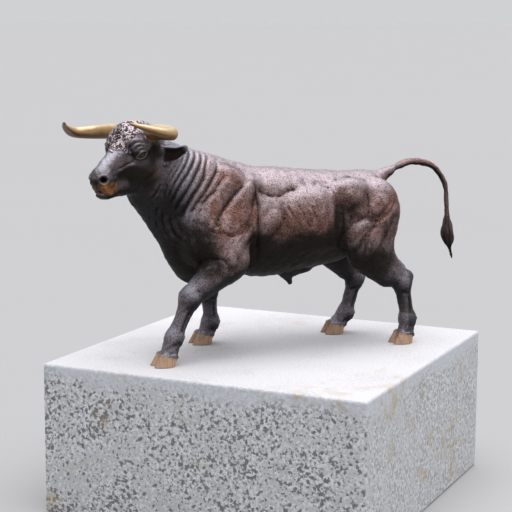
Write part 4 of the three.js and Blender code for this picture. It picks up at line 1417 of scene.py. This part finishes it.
@dataclass(frozen=True)
class BronzePatina:
    """Waxed bronze with painted light: painted shade below, painted shade with the patina in the creases, and
    a rose-grey painted highlight where the skin faces up.
    """

    # The darkest colour: the cast skin's pits, and painted shade in the creases and the hooves' clefts.
    pit_and_shade: Colour = (0.006, 0.005, 0.004)
    # Painted shade: where the skin faces down, in the dark zones and in broad hollows.
    under: Colour = (0.016, 0.013, 0.010)
    brown: Colour = (0.228, 0.136, 0.122)
    # Painted highlight: rose-grey where the skin faces up, on ridges and in small glints.
    painted_highlight: Colour = (0.58, 0.49, 0.525)
    # The painted highlight's bluish tint on the face, the legs and the fore parts.
    blue: Colour = (0.40, 0.40, 0.46)
    rust: Colour = (0.235, 0.102, 0.068)
    metallic: float = 0.7
    marks: tuple = (  # small places: the mask, its strength and the colour
        # Painted highlight on the eyelids.
        ("lid", 0.75, (0.24, 0.20, 0.19)),
        ("eye", 0.9, (0.035, 0.034, 0.026)),
        # Painted shade in the nostrils.
        ("hole", 1.0, (0.004, 0.003, 0.003)),
        # Painted highlight on the ears' rims.
        ("rim", 0.5, (0.40, 0.40, 0.46)),
        # Painted shade in the ears' hollows.
        ("ear", 0.95, (0.014, 0.008, 0.006)),
        ("tuft", 0.6, (0.016, 0.013, 0.010)),
    )

    def material(self) -> bpy.types.Material:
        """The bronze with its coloured horns, hooves and lips."""
        g = Graph.of_material("bronze_patina")
        sky, hair, fine, broad = (g.attribute(name) for name in ("sky", "hair", "fine", "broad"))
        horn_mask, hoof, lips = (g.attribute(name) for name in ("horn", "hoof", "lips"))
        face, shine, cool = (g.attribute(name) for name in ("face", "shine", "cool"))
        cloud = g.noise(26, 5, 0.6)
        mottle = g.noise(130, 5, 0.65)
        grain = g.noise(620, 2, 0.6)

        # Painted light and shade: lit follows how far the skin faces up; up lays the painted highlight on
        # top, weaker on the face away from the nose's bridge, and below low the painted shade takes over.
        lit = sky + (cloud - 0.5) * 0.10 + (mottle - 0.5) * 0.12
        up = lit.step(0.55, 0.96) * (1.0 - face * (1.0 - shine) * 0.55)
        low = lit.step(0.33, 0.62)
        shade = g.mix(cool * 0.7, self.under, (0.034, 0.033, 0.038))
        colour = g.mix(low, shade, g.mix(cool * 0.6, self.brown, (0.21, 0.20, 0.23)))
        warm = (g.attribute("warm") + (cloud - 0.5) * 0.5).step(0.10, 0.62)
        colour = g.mix(warm * low * 0.9, colour, self.rust)
        # The painted highlight, bluish where the cool mask is, laid where the skin faces up.
        painted_highlight = g.mix(cool, self.painted_highlight, self.blue)
        colour = g.mix(up * (1.0 - warm * 0.72), colour, painted_highlight)
        # Painted shade in the dark zones and over the face's sides.
        dark = (g.attribute("dark") + (mottle - 0.5) * 0.3).step(0.1, 0.95)
        colour = g.mix(dark.most(face * (1.0 - shine) * 0.4) * 0.95, colour, self.under)
        # The creases take the darkest colour, the patina in them with painted shade; broad hollows take
        # painted shade.
        crease = (0.5 - fine).step(0.04, 0.42)
        dip = (0.5 - broad).step(0.06, 0.5)
        # Ridges take the painted highlight.
        ridge = ((fine - 0.5).step(0.05, 0.4) + (broad - 0.5).step(0.1, 0.5) * 0.5).least(1.0)
        colour = g.mix(ridge * low * (0.30 - dark * 0.2), colour, painted_highlight)
        colour = g.mix(crease * 0.6, colour, self.pit_and_shade)
        colour = g.mix(dip * 0.5, colour, self.under)
        # Dark pits of the cast skin, and between them small painted glints.
        flecks = 0.5 - grain
        strong = 1.0 - face * 0.6
        colour = g.mix(flecks.step(0.0, 0.13) * strong * 0.66, colour, self.pit_and_shade)
        glint = (0.0 - flecks).step(0.01, 0.15) * strong * low * (0.24 - dark * 0.2)
        colour = g.mix(glint, colour, painted_highlight)
        # The curls' tops painted pale and their gaps dark, more where the skin faces up: painted highlight
        # and shade on the hair.
        curl = g.attribute("curl")
        lock = g.mix(curl.step(0.28, 0.78), (0.085, 0.058, 0.062), (0.80, 0.68, 0.71))
        colour = g.mix(hair * (0.55 + lit.step(0.3, 0.8) * 0.4), colour, lock)
        for name, share, tint in self.marks:
            colour = g.mix(g.attribute(name) * share, colour, tint)

        streak = g.noise(60, 3, 0.5, 1.5)
        lip_colour = g.mix(mottle.step(0.35, 0.7), (0.16, 0.070, 0.030), (0.46, 0.21, 0.085))
        colour = g.mix(lips * 0.85 * (1.0 - crease * 0.95), colour, lip_colour)
        horn_colour = g.mix(streak.step(0.42, 0.66), (0.62, 0.40, 0.16), (0.30, 0.14, 0.05))
        colour = g.mix(horn_mask, colour, horn_colour)
        upright = {0: g.place, 1: (1.0, 1.0, 0.12)}
        drawn_out = g.node("ShaderNodeVectorMath", {"operation": "MULTIPLY"}, upright)
        grooves = g.node("ShaderNodeTexNoise", None, {"Vector": drawn_out, "Scale": 420.0, "Detail": 3.0})
        hoof_colour = g.mix(grooves.step(0.42, 0.72) * 0.4, (0.58, 0.39, 0.27), (0.22, 0.115, 0.065))
        # The hooves' creases and cleft take the darkest colour, the patina in them with painted shade.
        hoof_colour = g.mix(crease.most(dip), hoof_colour, self.pit_and_shade)
        colour = g.mix(hoof, colour, hoof_colour)

        gloss = 0.50 - g.attribute("eye") * 0.25 + (mottle - 0.5) * 0.2
        gloss = gloss + crease * 0.2 + (1.0 - low) * 0.08 - face * 0.06
        metal = 1.0 - (horn_mask.most(hoof)) * 0.45
        skin_bump = (grain + mottle * 0.4) * (1.0 - hoof * 0.7) * (1.0 - face * 0.5)
        normal = g.bump(skin_bump, 0.0013, 0.8)
        return g.finish({
            "Base Color": colour,
            "Metallic": metal * self.metallic,
            "Roughness": gloss,
            "Specular IOR Level": 0.2,
            "Normal": normal,
        })


@dataclass(frozen=True)
class Granite:
    """Pale granite: bush-hammered sides, a finer drafted margin, a top finished by rubbing."""

    ground: Colour = (0.58, 0.59, 0.61)
    dark: Colour = (0.12, 0.125, 0.14)
    light: Colour = (0.84, 0.85, 0.88)
    top: Colour = (0.79, 0.78, 0.80)
    ochre: Colour = (0.50, 0.34, 0.14)
    margin: float = 0.022

    def material(self, height: float) -> bpy.types.Material:
        """The stone.

        Args:
            height: The block's height in metres.

        Returns:
            Its material.
        """
        g = Graph.of_material("granite")
        on_top = g.along("Z").step(0.5, 0.95)
        wobble = g.noise(9, 3, 0.6)
        frayed = g.along("Z", g.place) + (wobble - 0.5) * 0.05 + (g.noise(90, 3, 0.6) - 0.5) * 0.02
        band = frayed.step(height - self.margin * 1.3, height - self.margin * 0.3)
        calm = on_top.most(band * 0.65)
        blotch = g.noise(230, 3, 0.6)
        patch = g.noise(16, 3, 0.5)
        grit = g.noise(480, 4, 0.7)
        chip = g.cells(260)
        eastward = g.along("X").step(0.0, 0.5)
        ragged = (blotch - 0.5) * -1.5 + (patch - 0.5) * -0.7
        large = (g.cells(125) + ragged).step(0.36, 0.26)
        small = (g.cells(250) + ragged).step(0.34, 0.24)
        dark = large.most(small * 0.8) * (1.0 - calm) * (1.0 - eastward * 0.55)
        pale = (1.0 - blotch + (patch - 0.5) * 0.2).step(0.50, 0.62)
        colour = g.mix(pale * 0.75, self.ground, self.light)
        colour = g.mix(dark * 0.85, colour, self.dark)
        colour = g.mix(band * 0.6 * (1.0 - on_top), colour, (0.66, 0.695, 0.745))
        colour = g.mix(on_top, colour, self.top)
        colour = g.mix(grit.step(0.58, 0.75) * (0.35 - on_top * 0.2), colour, self.dark)
        colour = g.mix((1.0 - grit).step(0.58, 0.75) * 0.4, colour, self.light)
        top_speck = chip.step(0.2, 0.05) * blotch.step(0.5, 0.62)
        colour = g.mix(top_speck * on_top * 0.35, colour, (0.45, 0.44, 0.45))
        worn = (patch - 0.5) * 0.9 + (blotch - 0.5) * 1.2
        colour = g.mix(worn.step(0.0, 0.35) * on_top * 0.5, colour, (0.58, 0.555, 0.55))
        colour = g.mix(grit.step(0.50, 0.60) * on_top * 0.5, colour, (0.50, 0.50, 0.53))
        stain = g.noise(7, 4, 0.6, 0.8).step(0.54, 0.66) * g.noise(45, 4, 0.7).step(0.45, 0.62)
        colour = g.mix(stain * (0.55 - on_top * 0.25), colour, self.ochre)
        relief = blotch * -0.8 * (1.0 - calm) + grit * 0.5 + chip * 0.3
        return g.finish({
            "Base Color": colour,
            "Roughness": 0.78 - band * 0.1,
            "Normal": g.bump(relief, 0.0012, 0.8),
        })


@dataclass
class Bull:
    """The bronze bull."""

    node: str = "bull"
    finish: BronzePatina = field(default_factory=BronzePatina)

    def build(self) -> bpy.types.Object:
        """Models the skin and dresses it."""
        mesh, masks = Skin(Figure()).build(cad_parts[self.node])
        for name, values in masks.items():
            carry(mesh, name, values)
        mesh.shade_smooth()
        piece = bpy.data.objects.new("bull_bronze", mesh)
        bpy.context.scene.collection.objects.link(piece)
        mesh.materials.append(self.finish.material())
        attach(piece, "root")
        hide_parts(self.node)
        log.info("bull: %d triangles", len(mesh.polygons))
        return piece


@dataclass
class Horns:
    """The two horns, each a smooth tapering shell over the skin's own."""

    node: str = "bull"
    along: int = 110
    around: int = 36
    proud: float = 0.15  # millimetres outside the solid

    def shape(self, bar: Bar, name: str) -> bpy.types.Mesh:
        """Wraps a grid round the horn's curve.

        Args:
            bar: The horn's curve and radius.
            name: The mesh's name.

        Returns:
            The closed mesh.
        """
        bm = bmesh.new()
        bmesh.ops.create_grid(bm, x_segments=self.along, y_segments=self.around, size=1)
        grid = np.array([v.co for v in bm.verts], float) + 1
        t, turn = grid[:, 0] / 2, math.pi * grid[:, 1]
        radius, _, _ = bar.across(t)
        ring = np.stack([np.cos(turn), np.sin(turn), 4 * t], 1)
        lumps = 0.25 * clutter(ring, 1.3, SEED + 11) * rise(t, 1.0, 0.85)
        rings = 0.16 * np.cos(2 * math.pi * t / 0.028) * rise(t, 0.55, 0.25)
        radius = radius + self.proud + lumps + rings
        radius = radius * np.sqrt(rise(t, 1.0 + 1e-6, 0.985))
        place = t * (bar.SAMPLES - 1)
        middle, thick, wide = (bar.between(rows, place) for rows in (bar.points, bar.thick, bar.wide))
        way = np.cos(turn)[:, None] * thick + np.sin(turn)[:, None] * wide
        spots = to_part(middle + radius[:, None] * way)
        for vertex, spot in zip(bm.verts, spots):
            vertex.co = spot
        bmesh.ops.remove_doubles(bm, verts=bm.verts, dist=1e-5)
        bmesh.ops.holes_fill(bm, edges=[e for e in bm.edges if e.is_boundary], sides=0)
        bmesh.ops.recalc_face_normals(bm, faces=bm.faces)
        mesh = bpy.data.meshes.new(name)
        bm.to_mesh(mesh)
        bm.free()
        carry(mesh, "along", bar.locate(to_figure(coordinates(mesh)))[0])
        mesh.shade_smooth()
        return mesh

    def material(self) -> bpy.types.Material:
        """Ochre patina, brown at the root and the tip, with painted light: paler and with a painted highlight
        above, painted shade below.
        """
        g = Graph.of_material("horn_patina")
        along = g.attribute("along")
        upward = g.along("Z")
        streak = g.noise(42, 4, 0.6, 1.2)
        grain = g.noise(300, 4, 0.65)
        # Painted light and shade: dark brown where the horn faces down, ochre where it faces up.
        lit = (upward + (streak - 0.5) * 0.7).step(-0.5, 0.6)
        colour = g.mix(lit, (0.11, 0.050, 0.016), (0.66, 0.44, 0.20))
        colour = g.mix(streak.step(0.52, 0.7) * 0.55, colour, (0.26, 0.125, 0.055))
        # A pale painted highlight on the top.
        colour = g.mix((upward + (grain - 0.5) * 0.5).step(0.40, 0.95) * 0.7, colour, (0.94, 0.80, 0.62))
        colour = g.mix((1.0 - along).step(0.80, 1.0) * 0.65, colour, (0.10, 0.05, 0.022))
        colour = g.mix(along.step(0.90, 1.0) * 0.6, colour, (0.14, 0.08, 0.035))
        colour = g.mix(grain.step(0.58, 0.72) * 0.35, colour, (0.20, 0.10, 0.045))
        return g.finish({
            "Base Color": colour,
            "Metallic": 0.25,
            "Roughness": 0.34 + (grain - 0.5) * 0.25,
            "Normal": g.bump(grain * 0.6 + streak, 0.0004, 0.6),
        })

    def build(self) -> None:
        """Makes both horns."""
        finish = self.material()
        for side, word in ((1, "near"), (-1, "far")):
            mesh = self.shape(horn(side), f"horn_{word}")
            mesh.materials.append(finish)
            piece = bpy.data.objects.new(f"horn_{word}", mesh)
            bpy.context.scene.collection.objects.link(piece)
            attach(piece, "root")
            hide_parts(self.node)
            log.info("horn: %s, %d faces", word, len(mesh.polygons))


@dataclass
class Plinth:
    """The granite block, whose solid keeps its shape."""

    node: str = "plinth"
    height: float = 0.2
    finish: Granite = field(default_factory=Granite)

    def build(self) -> bpy.types.Object:
        """Gives the block its stone."""
        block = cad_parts[self.node]
        stone = self.finish.material(self.height)
        if not block.material_slots:
            block.data.materials.append(stone)
        for slot in block.material_slots:
            slot.material = stone
        log.info("plinth: granite on the solid itself")
        return block


class Angle(Enum):
    """Directions of the camera in the part's frame."""

    FORWARD = (0.39275, 0.90591, -0.15834)
    UP = (0.05922, 0.14690, 0.98738)


@dataclass
class Studio:
    """A pale floor, soft light from above and the camera."""

    eye: Point = (-0.8110, -1.8132, 0.6432)
    lens: float = 104.28
    floor_size: float = 900.0
    sky_strength: float = 1.5
    sky: tuple = (
        (0.50, (0.42, 0.425, 0.435)),
        (0.53, (0.42, 0.425, 0.435)),
        (0.62, (0.17, 0.18, 0.19)),
        (0.82, (0.13, 0.135, 0.15)),
        (0.93, (0.75, 0.76, 0.80)),
        (1.00, (1.00, 1.00, 1.00)),
    )

    def lay_floor(self) -> None:
        """A wide plain floor under the block."""
        bm = bmesh.new()
        bmesh.ops.create_grid(bm, x_segments=1, y_segments=1, size=self.floor_size / 2)
        mesh = bpy.data.meshes.new("floor")
        bm.to_mesh(mesh)
        bm.free()
        paint = Graph.of_material("floor_paint")
        wander = paint.mix(paint.noise(1.5, 2, 0.5), (0.4459, 0.4459, 0.4459), (0.455, 0.455, 0.455))
        mesh.materials.append(paint.finish({"Base Color": wander, "Roughness": 0.85}))
        floor = bpy.data.objects.new("floor", mesh)
        bpy.context.scene.collection.objects.link(floor)

    def light(self, name: str, source: Point, spread: float, strength: float, tint: Colour) -> None:
        """A wide soft light from far away.

        Args:
            name: The light's name.
            source: The direction that it comes from.
            spread: How wide it looks, in degrees.
            strength: In watts a square metre.
            tint: Its colour.
        """
        lamp = bpy.data.lights.new(name, "SUN")
        lamp.angle = math.radians(spread)
        lamp.energy = strength
        lamp.color = tint
        holder = bpy.data.objects.new(name, lamp)
        holder.rotation_euler = Vector(source).to_track_quat("Z", "Y").to_euler()
        bpy.context.scene.collection.objects.link(holder)

    def set_sky(self) -> None:
        """A soft sky: pale at the floor's edge, dim above it, bright overhead."""
        world = bpy.data.worlds.new("studio")
        world.use_nodes = True
        g = Graph(world.node_tree)
        heading = g.node("ShaderNodeTexCoord", output="Generated")
        ramp = g.node("ShaderNodeValToRGB", {"stops": self.sky}, {0: g.along("Z", heading) * 0.5 + 0.5})
        glow = g.node("ShaderNodeBackground", None, {"Color": ramp, "Strength": self.sky_strength})
        out = world.node_tree.nodes.new("ShaderNodeOutputWorld")
        world.node_tree.links.new(glow.socket, out.inputs["Surface"])
        bpy.context.scene.world = world
        bpy.context.scene.view_settings.view_transform = "Standard"

    def set_camera(self) -> None:
        """The camera at the photograph's angle."""
        forward, up = Vector(Angle.FORWARD.value), Vector(Angle.UP.value)
        right = forward.cross(up).normalized()
        up = right.cross(forward)
        lens = bpy.data.cameras.new("camera")
        lens.lens = self.lens
        lens.sensor_width = 36
        lens.clip_end = 200
        camera = bpy.data.objects.new("camera", lens)
        turn = Matrix((right, up, -forward)).transposed().to_4x4()
        camera.matrix_world = Matrix.Translation(self.eye) @ turn
        bpy.context.scene.collection.objects.link(camera)
        bpy.context.scene.camera = camera

    def build(self) -> None:
        """Sets up the whole studio."""
        self.set_camera()
        self.lay_floor()
        self.light("overhead", (0.10, -0.16, 1.0), 75, 2.3, (1.0, 0.985, 0.985))
        self.set_sky()


def main() -> None:
    """Builds the pieces in order and reports each."""
    logging.basicConfig(level=logging.INFO, format="%(name)s: %(message)s")
    Studio().build()
    Plinth().build()
    Bull().build()
    Horns().build()


if __name__ == "__main__":
    main()
